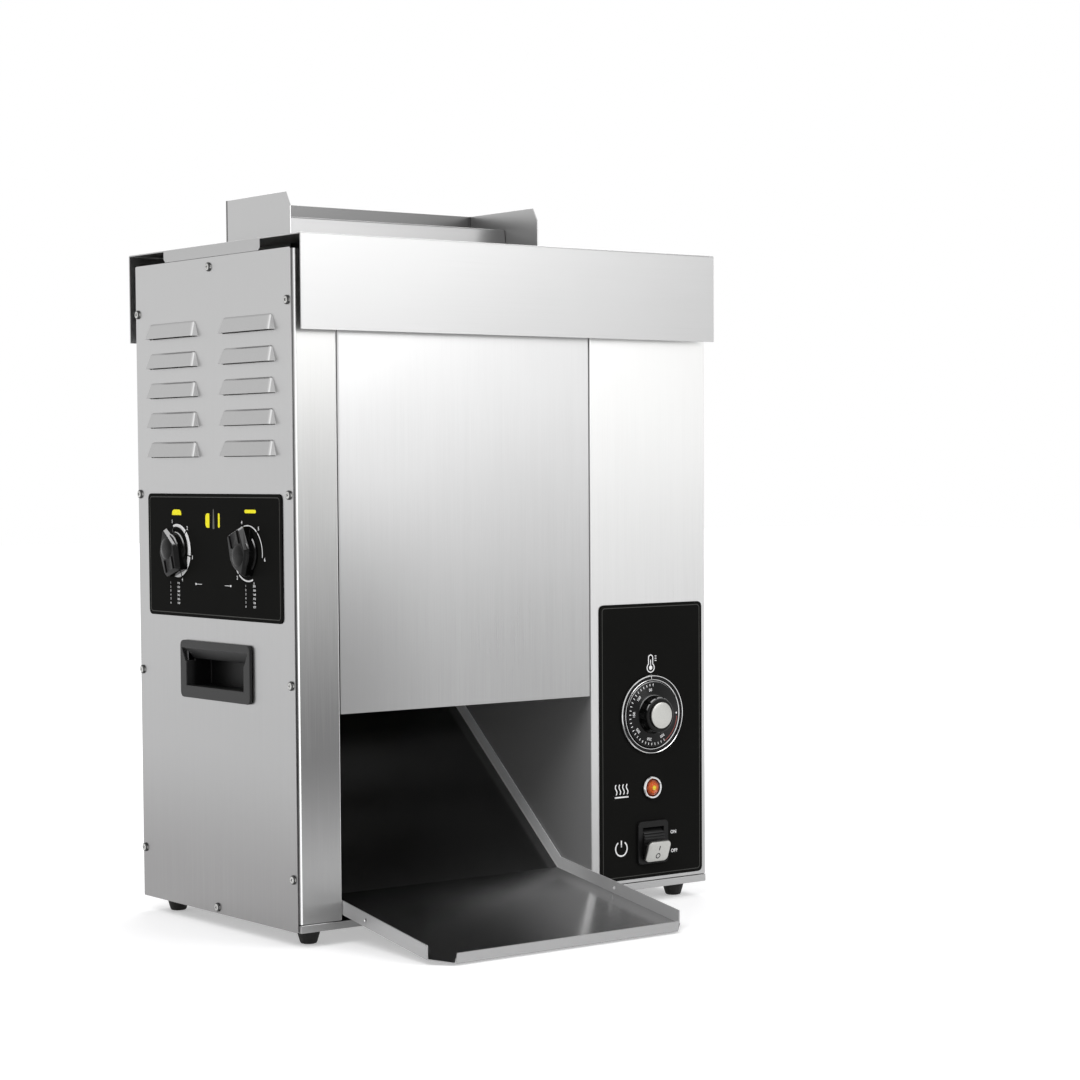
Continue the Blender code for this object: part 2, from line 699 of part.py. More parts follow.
def make_right_frame():
    """Right inner wall of the lane and the front of the control box, in one folded sheet."""
    path = [(LANE_RIGHT, REAR_INNER), (LANE_RIGHT, 0.0), (SKIN_RIGHT, 0.0), (SKIN_RIGHT, RETURN_DEPTH)]
    frame = folded("right_frame", "XY", path, FRAME_BOTTOM, FRAME_TOP - FRAME_BOTTOM)
    wall_openings(frame, LANE_RIGHT, RIGHT_WALL_OUTER)
    stem = hole("frame_stem_hole", STEM_RADIUS + GAP, "rear", (DIAL_CENTRE_X, 0.0, DIAL_CENTRE_Z), SHEET)
    lamp = hole("frame_lamp_hole", LAMP_LENS_RADIUS + GAP, "rear", (DIAL_CENTRE_X, 0.0, LAMP_CENTRE_Z), SHEET)
    terminals = [
        hole(f"terminal_hole_{z:.3f}", ELEMENT_RADIUS + GAP, "right", (LANE_RIGHT, PLATEN_CENTRE_Y, z), SHEET)
        for z in (element_level(0), element_level(ELEMENT_PASSES - 1))
    ]
    cut(frame, stem, lamp, switch_window("frame_switch_window", 0.0, SHEET), *terminals)
    dress(frame, "brushed")


def make_rear_panel():
    """Rear sheet with a return along each side, and the cord's hole."""
    path = [
        (SKIN_RIGHT, BODY_DEPTH - RETURN_DEPTH),
        (SKIN_RIGHT, BODY_DEPTH),
        (SKIN_LEFT, BODY_DEPTH),
        (SKIN_LEFT, BODY_DEPTH - RETURN_DEPTH),
    ]
    panel = folded("rear_panel", "XY", path, FRAME_BOTTOM, FRAME_TOP - FRAME_BOTTOM)
    start = (GLAND_X, BODY_DEPTH - SHEET, GLAND_Z)
    cut(panel, hole("gland_hole", GLAND_RADIUS + GAP, "rear", start, SHEET))
    dress(panel, "brushed")


def hood(name, length, height, depth, radius, base, segments):
    """Half of a rounded box: the pressed shape of a louvre, open below, standing off at -X."""
    bm = bmesh.new()
    bmesh.ops.create_cube(bm, size=2.0)
    bmesh.ops.scale(bm, vec=(depth, length / 2.0, height), verts=bm.verts)
    for vert in bm.verts:
        above = vert.co.z > 0.0
        vert.co.x *= LOUVRE_TOP_DEPTH_SHARE if above else 2.0 - LOUVRE_TOP_DEPTH_SHARE
        vert.co.y *= LOUVRE_TOP_LENGTH_SHARE if above else 2.0 - LOUVRE_TOP_LENGTH_SHARE
        vert.co.y += math.copysign(vert.co.x * LOUVRE_END_SLOPE_SHARE, vert.co.x * vert.co.y)
    bmesh.ops.bevel(
        bm, geom=list(bm.edges), offset=radius, segments=segments, profile=LOUVRE_PROFILE_SHARE, affect="EDGES"
    )
    for point, way in (((0.0, 0.0, 0.0), (0.0, 0.0, -1.0)), ((base, 0.0, 0.0), (1.0, 0.0, 0.0))):
        everything = list(bm.verts) + list(bm.edges) + list(bm.faces)
        half = bmesh.ops.bisect_plane(bm, geom=everything, plane_co=point, plane_no=way, clear_outer=True)
        rim = [item for item in half["geom_cut"] if isinstance(item, bmesh.types.BMEdge)]
        bmesh.ops.contextual_create(bm, geom=rim)
    return from_bmesh(name, bm)


def make_side_panel(name, outer, inner, side):
    """A flat side sheet with two columns of pressed louvres; side is -1 at the left."""
    low = min(outer, inner)
    outline = rounded(
        rectangle(PANEL_SETBACK, BODY_DEPTH, PAN_Z, BODY_TOP), PANEL_CORNER
    )
    panel = plate(name, "YZ", [outline], low, SHEET)
    turn = Euler((0.0, 0.0, 0.0)) if side < 0 else Euler((0.0, 0.0, math.pi))
    for column, centre_y in enumerate(LOUVRE_CENTRES_Y):
        for row in range(LOUVRE_ROWS):
            tag = f"{name}_{column}_{row}"
            place = (outer, centre_y, LOUVRE_TOP - row * LOUVRE_PITCH)
            shell = hood(
                f"hood_{tag}", LOUVRE_LENGTH, LOUVRE_HEIGHT, LOUVRE_DEPTH, LOUVRE_ROUND, SHEET / 2.0, LOUVRE_SEGMENTS
            )
            hollow = hood(
                f"hollow_{tag}", LOUVRE_LENGTH - 2.0 * SHEET, LOUVRE_HEIGHT - SHEET,
                LOUVRE_DEPTH - SHEET, LOUVRE_ROUND - SHEET, SHEET + OVERRUN, 1,
            )
            shell.location = place
            shell.rotation_euler = turn
            hollow.location = Vector(place) - Vector((0.0, 0.0, SHEET / 2.0))
            hollow.rotation_euler = turn
            join(panel, shell)
            cut(panel, hollow)
    window = rectangle(
        HANDLE_CENTRE_Y - HANDLE_CUT_LENGTH / 2.0, HANDLE_CENTRE_Y + HANDLE_CUT_LENGTH / 2.0,
        HANDLE_CENTRE_Z - HANDLE_CUT_HEIGHT / 2.0, HANDLE_CENTRE_Z + HANDLE_CUT_HEIGHT / 2.0,
    )
    cut(panel, plate(f"{name}_handle_window", "YZ", [window], low - OVERRUN, SHEET + 2.0 * OVERRUN))
    if side < 0:
        for tag, belt_y, cam_y, away, pointer in LANES:
            cut(panel, hole(f"panel_{tag}_hole", CAM_SHAFT_RADIUS + GAP, "right", (low, cam_y, KNOB_Z), SHEET))
    dress(panel, "brushed")


def make_front_cover():
    """Lift-off cover of the lane, folded back on three sides."""
    low = LANE_LEFT + SEAM
    high = LANE_RIGHT - SEAM
    top = FRAME_TOP - COVER_TOP_DROP
    path = [(low, COVER_RETURN), (low, 0.0), (high, 0.0), (high, COVER_RETURN)]
    cover = folded("front_cover", "XY", path, COVER_BOTTOM, top - COVER_BOTTOM)
    lip = block(
        "cover_lip",
        (low + FOLD_RADIUS, SHEET / 2.0, COVER_BOTTOM),
        (high - FOLD_RADIUS, COVER_RETURN, COVER_BOTTOM + SHEET),
    )
    dress(join(cover, lip), "brushed")


def make_lid():
    """Lid: long skirts at the front and rear, short ones at the sides, open at the corners."""
    front = -LID_STANDOFF
    rear = BODY_DEPTH + LID_STANDOFF
    path = [(rear, SKIRT_BOTTOM), (rear, LID_TOP), (front, LID_TOP), (front, SKIRT_BOTTOM)]
    lid = folded("top_cover", "YZ", path, 0.0, BODY_WIDTH)
    near = SIDE_SKIRT_MARGIN
    far = BODY_DEPTH - SIDE_SKIRT_MARGIN
    foot = BODY_TOP + GAP
    cut_corner = SIDE_SKIRT_CORNER
    skirt = [
        (near, LID_TOP - SHEET / 2.0), (near, foot + cut_corner), (near + cut_corner, foot),
        (far - cut_corner, foot), (far, foot + cut_corner), (far, LID_TOP - SHEET / 2.0),
    ]
    for tag, x in (("left", 0.0), ("right", BODY_WIDTH - SHEET)):
        join(lid, plate(f"side_skirt_{tag}", "YZ", [skirt], x, SHEET))
    opening = block(
        "feeder_opening",
        (FEEDER_LEFT - GAP, FEEDER_FRONT - GAP, LID_TOP - SHEET - OVERRUN),
        (FEEDER_RIGHT + GAP, FEEDER_REAR + GAP, LID_TOP + OVERRUN),
    )
    dress(cut(lid, opening), "brushed")


FEEDER_LEFT = LANE_LEFT + FEEDER_MARGIN
FEEDER_RIGHT = LANE_RIGHT - FEEDER_MARGIN
FEEDER_TOP = LID_TOP + FEEDER_RISE
FEEDER_BOTTOM = LID_TOP - FEEDER_THROAT_DROP


def make_feeder():
    """Open-topped feeder: two ears, a rear wall, a low front wall and a sloping guide."""
    feeder = block(
        "bun_feeder", (FEEDER_LEFT, FEEDER_FRONT, FEEDER_BOTTOM), (FEEDER_RIGHT, FEEDER_REAR, FEEDER_TOP)
    )
    rim = block(
        "feeder_rim",
        (FEEDER_LEFT - FEEDER_RIM, FEEDER_FRONT - FEEDER_RIM, LID_TOP + GAP),
        (FEEDER_RIGHT + FEEDER_RIM, FEEDER_REAR + FEEDER_RIM, LID_TOP + GAP + SHEET),
    )
    well = block(
        "feeder_well",
        (FEEDER_LEFT + SHEET, FEEDER_FRONT + SHEET, FEEDER_BOTTOM - OVERRUN),
        (FEEDER_RIGHT - SHEET, FEEDER_REAR - SHEET, FEEDER_TOP + OVERRUN),
    )
    low_front = block(
        "feeder_low_front",
        (FEEDER_LEFT + SHEET, FEEDER_FRONT - OVERRUN, LID_TOP + FEEDER_FRONT_RISE),
        (FEEDER_RIGHT - SHEET, FEEDER_FRONT + SHEET + OVERRUN, FEEDER_TOP + OVERRUN),
    )
    back, drop = FEEDER_EAR_CUT
    corner = [
        (FEEDER_FRONT - OVERRUN, FEEDER_TOP - drop - OVERRUN * drop / back),
        (FEEDER_FRONT + back + OVERRUN, FEEDER_TOP + OVERRUN * drop / back),
        (FEEDER_FRONT - OVERRUN, FEEDER_TOP + OVERRUN * drop / back),
    ]
    ear_corner = plate(
        "feeder_ear_corner", "YZ", [corner], FEEDER_LEFT - OVERRUN,
        FEEDER_RIGHT - FEEDER_LEFT + 2.0 * OVERRUN,
    )
    top = LID_TOP + FEEDER_FRONT_RISE / 2.0
    guide = [
        (FEEDER_FRONT + SHEET / 2.0, top),
        (FEEDER_FRONT + FEEDER_GUIDE_SHIFT, FEEDER_BOTTOM - FEEDER_GUIDE_DROP),
        (FEEDER_FRONT + FEEDER_GUIDE_SHIFT - SHEET, FEEDER_BOTTOM - FEEDER_GUIDE_DROP),
        (FEEDER_FRONT + SHEET / 2.0, top - SHEET),
    ]
    slope = plate(
        "feeder_guide", "YZ", [guide], FEEDER_LEFT + SHEET / 2.0, FEEDER_RIGHT - FEEDER_LEFT - SHEET
    )
    join(feeder, rim)
    cut(feeder, well, low_front, ear_corner)
    dress(join(feeder, slope), "brushed")


def make_divider():
    """Folded ridge between the ears that parts the two slots above the platen."""
    top = FEEDER_TOP - DIVIDER_TOP_DROP
    centre = PLATEN_CENTRE_Y
    shoulder = top - DIVIDER_SHOULDER_DROP
    foot = PLATEN_TOP + DIVIDER_CLEARANCE
    path = [
        (centre + DIVIDER_FOOT / 2.0, foot),
        (centre + DIVIDER_SHOULDER / 2.0, shoulder),
        (centre + DIVIDER_RIDGE / 2.0, top),
        (centre - DIVIDER_RIDGE / 2.0, top),
        (centre - DIVIDER_SHOULDER / 2.0, shoulder),
        (centre - DIVIDER_FOOT / 2.0, foot),
    ]
    start = FEEDER_LEFT + SHEET + GAP
    length = FEEDER_RIGHT - FEEDER_LEFT - 2.0 * (SHEET + GAP)
    dress(folded("feed_divider", "YZ", path, start, length, fold=SHEET + GAP), "brushed")


def chute_line():
    """Underside of the tray and chute, front to rear, as (y, z) points."""
    fold_z = TRAY_TOE + (CHUTE_FOLD_Y + TRAY_REACH) * math.tan(TRAY_SLOPE)
    top_y = REAR_INNER - CHUTE_BACK_GAP
    top_z = fold_z + (top_y - CHUTE_FOLD_Y) * math.tan(CHUTE_SLOPE)
    return [(-TRAY_REACH, TRAY_TOE), (CHUTE_FOLD_Y, fold_z), (top_y, top_z)]


def make_chute_tray():
    """Steep chute and sloping tray in one sheet, flanged, with both front corners cut off."""
    toe, fold, top = [Vector(point) for point in chute_line()]
    low = LANE_LEFT + SEAM
    high = LANE_RIGHT - SEAM
    up_tray = Vector((-math.sin(TRAY_SLOPE), math.cos(TRAY_SLOPE)))
    up_chute = Vector((-math.sin(CHUTE_SLOPE), math.cos(CHUTE_SLOPE)))
    between = (up_tray + up_chute).normalized()
    miter = CHUTE_FLANGE / between.dot(up_tray)
    path = [tuple(toe + up_tray * TRAY_FRONT_FLANGE), tuple(toe), tuple(fold), tuple(top)]
    tray = folded("chute_tray", "YZ", path, low, high - low)
    along = (fold - toe).normalized()
    start = toe + along * ((TRAY_CORNER_CUT + SHEET / 2.0) / math.cos(TRAY_SLOPE))
    inside = SHEET / 2.0
    reach = SHEET / 2.0 / between.dot(up_tray)
    side = [
        start + Vector((0.0, inside / math.cos(TRAY_SLOPE))), fold + between * reach, top - (top - fold).normalized() * inside + up_chute * inside,
        top - (top - fold).normalized() * inside + up_chute * CHUTE_FLANGE,
        fold + between * miter, start + Vector((0.0, CHUTE_FLANGE / math.cos(TRAY_SLOPE))),
    ]
    side = [tuple(point) for point in side]
    screw_hole = Vector((TRAY_HOLE_Y, 0.0))
    screw_hole.y = toe.y + (TRAY_HOLE_Y + TRAY_REACH) * math.tan(TRAY_SLOPE) + CHUTE_FLANGE / 2.0
    hole_loop = circle(screw_hole.x, screw_hole.y, TRAY_HOLE_RADIUS, TINY_STEPS)
    for tag, x in (("left", low), ("right", high - SHEET)):
        join(tray, plate(f"tray_flange_{tag}", "YZ", [side, hole_loop], x, SHEET))
    deep = 4.0 * OVERRUN
    for tag, edge, way in (("left", low, 1.0), ("right", high, -1.0)):
        corner = [
            (edge - way * OVERRUN, start.x - SHEET / 2.0),
            (edge, start.x - SHEET / 2.0),
            (edge + way * TRAY_CORNER_CUT, toe.x),
            (edge + way * TRAY_CORNER_CUT, toe.x - deep),
            (edge - way * OVERRUN, toe.x - deep),
        ]
        cut(tray, plate(f"tray_corner_{tag}", "XY", [corner], -OVERRUN, fold.y))
    dress(tray, "coated")


def make_handle(name, outer, side):
    """Moulded pull: a rim on the panel, a cup behind it and a lip to pull on; side is -1 at the left."""
    def span(near, far):
        """The two X values that lie so far out of the panel, low one first."""
        return sorted((outer + side * near, outer + side * far))

    half_length = HANDLE_LENGTH / 2.0
    half_height = HANDLE_HEIGHT / 2.0
    rim_x = span(GAP, GAP + HANDLE_RIM)
    outline = rounded(
        rectangle(
            HANDLE_CENTRE_Y - half_length, HANDLE_CENTRE_Y + half_length,
            HANDLE_CENTRE_Z - half_height, HANDLE_CENTRE_Z + half_height,
        ),
        HANDLE_CORNER,
    )
    handle = plate(name, "YZ", [outline], rim_x[0], HANDLE_RIM)
    cup_y = HANDLE_CUT_LENGTH / 2.0 - GAP
    cup_z = HANDLE_CUT_HEIGHT / 2.0 - GAP
    cup_x = span(-HANDLE_CUP_DEPTH, GAP + HANDLE_RIM / 2.0)
    cup = block(
        f"{name}_cup",
        (cup_x[0], HANDLE_CENTRE_Y - cup_y, HANDLE_CENTRE_Z - cup_z),
        (cup_x[1], HANDLE_CENTRE_Y + cup_y, HANDLE_CENTRE_Z + cup_z),
    )
    join(handle, cup)
    inner_y = cup_y - HANDLE_WALL
    mouth_top = HANDLE_CENTRE_Z + half_height - HANDLE_RIM_WIDTH / 2.0 - HANDLE_LIP_HEIGHT
    pocket_x = span(-(HANDLE_CUP_DEPTH - HANDLE_WALL), -HANDLE_GRIP_DEPTH)
    pocket = block(
        f"{name}_pocket",
        (pocket_x[0], HANDLE_CENTRE_Y - inner_y, HANDLE_CENTRE_Z - cup_z + HANDLE_WALL),
        (pocket_x[1], HANDLE_CENTRE_Y + inner_y, HANDLE_CENTRE_Z + cup_z - HANDLE_WALL),
    )
    mouth_x = span(-(HANDLE_GRIP_DEPTH + OVERRUN), GAP + HANDLE_RIM + OVERRUN)
    mouth = block(
        f"{name}_mouth",
        (mouth_x[0], HANDLE_CENTRE_Y - inner_y, HANDLE_CENTRE_Z - cup_z + HANDLE_WALL),
        (mouth_x[1], HANDLE_CENTRE_Y + inner_y, mouth_top),
    )
    face = outer + side * (GAP + HANDLE_RIM)
    bevel_back = outer - side * HANDLE_GRIP_DEPTH / 2.0
    wedge = [
        (face + side * OVERRUN, mouth_top + HANDLE_LIP_HEIGHT),
        (face + side * OVERRUN, mouth_top - OVERRUN),
        (bevel_back, mouth_top - OVERRUN),
        (bevel_back, mouth_top),
    ]
    slope = plate(f"{name}_slope", "XZ", [wedge], HANDLE_CENTRE_Y - inner_y, 2.0 * inner_y)
    for vert in slope.data.vertices:
        if vert.co.z > mouth_top:
            vert.co.y = HANDLE_CENTRE_Y + (vert.co.y - HANDLE_CENTRE_Y) * (half_length - HANDLE_RIM) / inner_y
    cut(handle, pocket, mouth, slope)
    dress(handle, "black_plastic")


def make_knob(tag, y, pointer):
    """Bar knob: a skirt, a round body and a tapered grip whose nose points at the scale."""
    edge = KNOB_EDGE
    profile = [
        (0.0, KNOB_BODY_HEIGHT),
        (KNOB_BODY_RADIUS - edge, KNOB_BODY_HEIGHT),
        (KNOB_BODY_RADIUS, KNOB_BODY_HEIGHT - edge),
        (KNOB_BODY_RADIUS, KNOB_SKIRT_HEIGHT),
        (KNOB_SKIRT_RADIUS, KNOB_SKIRT_HEIGHT - edge),
        (KNOB_SKIRT_RADIUS, 0.0),
        (0.0, 0.0),
    ]
    face = -(PLATE_THICKNESS + GAP + GAP)
    knob = turned(f"{tag}_knob", profile, ROUND_STEPS, (face, y, KNOB_Z))
    half = KNOB_BAR_WIDTH / 2.0
    top_half = KNOB_BAR_TOP_WIDTH / 2.0
    reach = KNOB_BAR_LENGTH / 2.0
    section = [
        (-reach, -half), (reach - KNOB_NOSE, -half), (reach, 0.0), (reach - KNOB_NOSE, half), (-reach, half),
    ]
    bar = plate(f"{tag}_bar", "XY", [section], edge, KNOB_HEIGHT - edge, (face, y, KNOB_Z))
    for vert in bar.data.vertices:
        if vert.co.z > KNOB_BODY_HEIGHT:
            vert.co.y *= top_half / half
    bevel = bar.modifiers.new("Bevel", "BEVEL")
    bevel.width = edge
    bevel.segments = 1
    bevel.limit_method = "ANGLE"
    outward = Matrix.Rotation(-math.pi / 2.0, 4, "Y")
    seen_from_left = Matrix.Rotation(pointer - math.pi / 2.0, 4, "Z")
    turn = (outward @ seen_from_left).to_euler()
    knob.rotation_euler = turn
    bar.rotation_euler = turn
    bore = rod(f"{tag}_knob_bore", CAM_SHAFT_RADIUS + GAP, KNOB_BODY_HEIGHT / 2.0 + OVERRUN, "left",
               (face + OVERRUN, y, KNOB_Z))
    dress(cut(join(knob, bar), bore), "black_plastic")


def cam_outline(reach, side):
    """Snail cam in (y, z), smallest at the plate; it grows by the plate's travel over the sweep."""
    points = []
    for step in range(CAM_STEPS):
        share = step / (CAM_STEPS - 1)
        radius = reach + PRESS_TRAVEL * share
        angle = side_angle(side) - CAM_SWEEP * share
        points.append((radius * math.cos(angle), radius * math.sin(angle)))
    return points


def side_angle(side):
    """Direction in the (y, z) plane from a cam shaft to its pressure plate."""
    return 0.0 if side < 0 else math.pi


def make_cam_shaft(tag, belt_y, y, side):
    """Cross shaft from the knob to the far wall, with two snail cams behind the plate."""
    start = -(PLATE_THICKNESS + GAP + GAP + KNOB_BODY_HEIGHT / 2.0) + GAP
    shaft = rod(f"{tag}_cam_shaft", CAM_SHAFT_RADIUS, RIGHT_WALL_OUTER + SHEET - start, "right",
                (start, y, KNOB_Z))
    reach = abs(press_back(belt_y, side) - y) - GAP
    outline = cam_outline(reach, side)
    for place, x in (("left", LANE_LEFT + CAM_INSET), ("right", LANE_RIGHT - CAM_INSET - CAM_THICKNESS)):
        cam = plate(f"{tag}_cam_{place}", "YZ", [outline], x, CAM_THICKNESS, (0.0, y, KNOB_Z))
        join(shaft, cam)
    dress(shaft, "zinc")


def make_pressure_plate(tag, belt_y, side):
    """Plate behind the belt's pressing run, carried by two bars that slide in the wall slots."""
    face = press_face(belt_y, side)
    back = press_back(belt_y, side)
    low = BELT_LEFT + BAND_WIDTH + SPROCKET_SIDE_GAP + SPROCKET_THICKNESS + SPROCKET_SIDE_GAP
    high = LANE_LEFT + LANE_RIGHT - low
    flange = face + side * PRESS_PLATE_FLANGE
    path = [
        (flange, PRESS_PLATE_TOP), (face, PRESS_PLATE_TOP),
        (face, PRESS_PLATE_BOTTOM), (flange, PRESS_PLATE_BOTTOM),
    ]
    if side < 0:
        path.reverse()
    sheet = folded(f"{tag}_pressure_plate", "YZ", path, low, high - low, PLATE_SHEET)
    for z in PRESS_BAR_HEIGHTS:
        near, far = sorted((back - side * PRESS_SEAT, back + side * PRESS_BAR))
        bar = block(
            f"{tag}_bar_{z:.3f}",
            (LEFT_WALL_INNER - PRESS_REACH, near, z - PRESS_BAR / 2.0),
            (RIGHT_WALL_OUTER + PRESS_REACH, far, z + PRESS_BAR / 2.0),
        )
        join(sheet, bar)
    dress(sheet, "brushed")


BELT_LEFT = LANE_LEFT + BELT_MARGIN
BELT_RIGHT = LANE_RIGHT - BELT_MARGIN


def belt_loop(radius, steps):
    """A stadium around both sprocket centres in (y, z), centred on the lower one."""
    turn = math.pi / steps
    upper = [(radius * math.cos(turn * i), BELT_SPAN + radius * math.sin(turn * i)) for i in range(steps + 1)]
    lower = [(-radius * math.cos(turn * i), -radius * math.sin(turn * i)) for i in range(steps + 1)]
    return upper + lower


def rung_places():
    """Centres of the rungs along the belt, one pitch apart, in (y, z)."""
    count = 2 * STRAIGHT_PITCHES + SPROCKET_TEETH
    half_turn = SPROCKET_TEETH / 2.0
    places = []
    for index in range(count):
        along = index + RUNG_PHASE_SHARE
        if along < half_turn:
            angle = math.pi * along / half_turn
            places.append((BELT_RADIUS * math.cos(angle), BELT_SPAN + BELT_RADIUS * math.sin(angle)))
        elif along < half_turn + STRAIGHT_PITCHES:
            places.append((-BELT_RADIUS, BELT_SPAN - (along - half_turn) * RUNG_PITCH))
        elif along < 2.0 * half_turn + STRAIGHT_PITCHES:
            angle = math.pi * (along - half_turn - STRAIGHT_PITCHES) / half_turn
            places.append((-BELT_RADIUS * math.cos(angle), -BELT_RADIUS * math.sin(angle)))
        else:
            places.append((BELT_RADIUS, (along - 2.0 * half_turn - STRAIGHT_PITCHES) * RUNG_PITCH))
    return places


def make_belt(tag, y):
    """Endless belt: two side bands joined by a rung every pitch."""
    half = BAND_THICKNESS / 2.0
    steps = BAND_ARC_STEPS
    loops = [belt_loop(BELT_RADIUS + half, steps), belt_loop(BELT_RADIUS - half, steps)]
    place = (0.0, y, BELT_BOTTOM_Z)
    belt = plate(f"{tag}_belt", "YZ", loops, BELT_LEFT, BAND_WIDTH, place)
    other = plate(f"{tag}_belt_right_band", "YZ", loops, BELT_RIGHT - BAND_WIDTH, BAND_WIDTH, place)
    bm = bmesh.new()
    length = BELT_RIGHT - BELT_LEFT - BAND_WIDTH
    sideways = Euler((0.0, math.pi / 2.0, 0.0)).to_matrix()
    for rung_y, rung_z in rung_places():
        made = bmesh.ops.create_cone(
            bm, cap_ends=True, segments=RUNG_SIDES, radius1=RUNG_RADIUS, radius2=RUNG_RADIUS, depth=length
        )["verts"]
        bmesh.ops.rotate(bm, verts=made, cent=(0.0, 0.0, 0.0), matrix=sideways)
        bmesh.ops.translate(bm, verts=made, vec=((BELT_LEFT + BELT_RIGHT) / 2.0, rung_y, rung_z))
    rungs = from_bmesh(f"{tag}_rungs", bm, place)
    dress(join(belt, other, rungs), "zinc")


def toothed(teeth, root, tip, phase_share=0.0):
    """Outline of a sprocket whose first tooth points along u, or a share of a pitch past it."""
    pitch = 2.0 * math.pi / teeth
    flank_shares = ((-0.15, tip), (0.15, tip), (0.5, root))
    return [
        (
            radius * math.cos(pitch * (index + share + phase_share)),
            radius * math.sin(pitch * (index + share + phase_share)),
        )
        for index in range(teeth)
        for share, radius in flank_shares
    ]


def make_belt_shaft(tag, level, y, z, far_end):
    """Belt shaft with two toothed wheels inside the rungs; the driven one also carries a chain sprocket."""
    start = LEFT_WALL_INNER - SHAFT_END
    shaft = rod(f"{tag}_{level}_shaft", BELT_SHAFT_RADIUS, far_end - start, "right", (start, y, z))
    tip = BELT_RADIUS - RUNG_RADIUS - GAP
    outline = toothed(SPROCKET_TEETH, tip - TOOTH_DEPTH, tip, RUNG_PHASE_SHARE)
    inset = BAND_WIDTH + SPROCKET_SIDE_GAP
    for side_name, x in (("left", BELT_LEFT + inset), ("right", BELT_RIGHT - inset - SPROCKET_THICKNESS)):
        join(shaft, plate(f"{tag}_{level}_{side_name}", "YZ", [outline], x, SPROCKET_THICKNESS, (0.0, y, z)))
    if level == "drive":
        chain_outline = toothed(CHAIN_SPROCKET_TEETH, CHAIN_SPROCKET_RADIUS - CHAIN_TOOTH, CHAIN_SPROCKET_RADIUS)
        join(shaft, plate(f"{tag}_chain_sprocket", "YZ", [chain_outline], DRIVE_PLANE, CHAIN_WIDTH, (0.0, y, z)))
    dress(shaft, "zinc")


def make_bush(tag, level, side_name, y, z):
    """Flanged bush of a belt shaft, pushed into its inner wall from outside the lane."""
    if side_name == "left":
        face, facing = LEFT_WALL_INNER, "left"
    else:
        face, facing = RIGHT_WALL_OUTER, "right"
    bore = BELT_SHAFT_RADIUS + GAP
    seat = GAP
    tail = seat + BUSH_FLANGE - BUSH_LENGTH
    profile = [
        (bore, seat + BUSH_FLANGE),
        (BUSH_FLANGE_RADIUS, seat + BUSH_FLANGE),
        (BUSH_FLANGE_RADIUS, seat),
        (BUSH_RADIUS, seat),
        (BUSH_RADIUS, tail),
        (bore, tail),
    ]
    bush = turned(f"{tag}_{level}_bush_{side_name}", profile, SMALL_STEPS, (face, y, z), FACING[facing])
    dress(bush, "bronze")


def element_level(index):
    """Height of one pass of the heating element, counted from below."""
    first = PLATEN_BOTTOM + (PLATEN_HEIGHT - (ELEMENT_PASSES - 1) * ELEMENT_PITCH) / 2.0
    return first + index * ELEMENT_PITCH


def element_route():
    """Centre line of the serpentine element in (x, z), terminal to terminal."""
    end = RIGHT_WALL_OUTER + ELEMENT_TERMINAL
    bend = ELEMENT_PITCH / 2.0
    left = LANE_LEFT + PLATEN_FRAME_BAR + ELEMENT_SIDE_MARGIN + bend
    right = LANE_RIGHT - PLATEN_FRAME_BAR - ELEMENT_SIDE_MARGIN - bend
    route = [(end, element_level(0))]
    for index in range(ELEMENT_PASSES - 1):
        turn_x, way = (left, -1.0) if index % 2 == 0 else (right, 1.0)
        middle = element_level(index) + bend
        for step in range(ELEMENT_ARC_STEPS + 1):
            angle = math.pi * step / ELEMENT_ARC_STEPS - math.pi / 2.0
            route.append((turn_x + way * bend * math.cos(angle), middle + bend * math.sin(angle)))
    route.append((end, element_level(ELEMENT_PASSES - 1)))
    return route


def make_platen():
    """Two cast faces on a spacer frame, with the tubular element clamped between them."""
    low = LANE_LEFT + GAP
    high = LANE_RIGHT - GAP
    top = PLATEN_TOP
    bar = PLATEN_FRAME_BAR
    ring = [
        rectangle(low, high, PLATEN_BOTTOM, top),
        rectangle(low + bar, high - bar, PLATEN_BOTTOM + bar, top - bar),
    ]
    thick = PLATEN_THICKNESS - 2.0 * (PLATEN_FACE + GAP)
    start = PLATEN_CENTRE_Y - thick / 2.0
    frame = plate("platen_frame", "XZ", ring, start, thick)
    for index in (0, ELEMENT_PASSES - 1):
        place = (high - bar, PLATEN_CENTRE_Y, element_level(index))
        cut(frame, hole(f"frame_terminal_{index}", ELEMENT_RADIUS + GAP, "right", place, bar))
    dress(frame, "aluminium")
    side = BELT_LEFT - LANE_LEFT - BAND_WIDTH
    for name, y in (
        ("platen_front_face", PLATEN_FRONT),
        ("platen_rear_face", PLATEN_REAR - PLATEN_FACE),
    ):
        face = block(
            name, (low + side, y, PLATEN_BOTTOM), (high - side, y + PLATEN_FACE, top), PLATEN_EDGE
        )
        dress(face, "aluminium")
    curve = bpy.data.curves.new("heating_element", "CURVE")
    curve.dimensions = "3D"
    curve.bevel_depth = ELEMENT_RADIUS
    curve.bevel_resolution = 2
    curve.use_fill_caps = True
    spline = curve.splines.new("POLY")
    route = element_route()
    spline.points.add(len(route) - 1)
    for point, (x, z) in zip(spline.points, route):
        point.co = (x, PLATEN_CENTRE_Y, z, 1.0)
    dress(adopt("heating_element", mesh_of_curve("heating_element", curve)), "element")


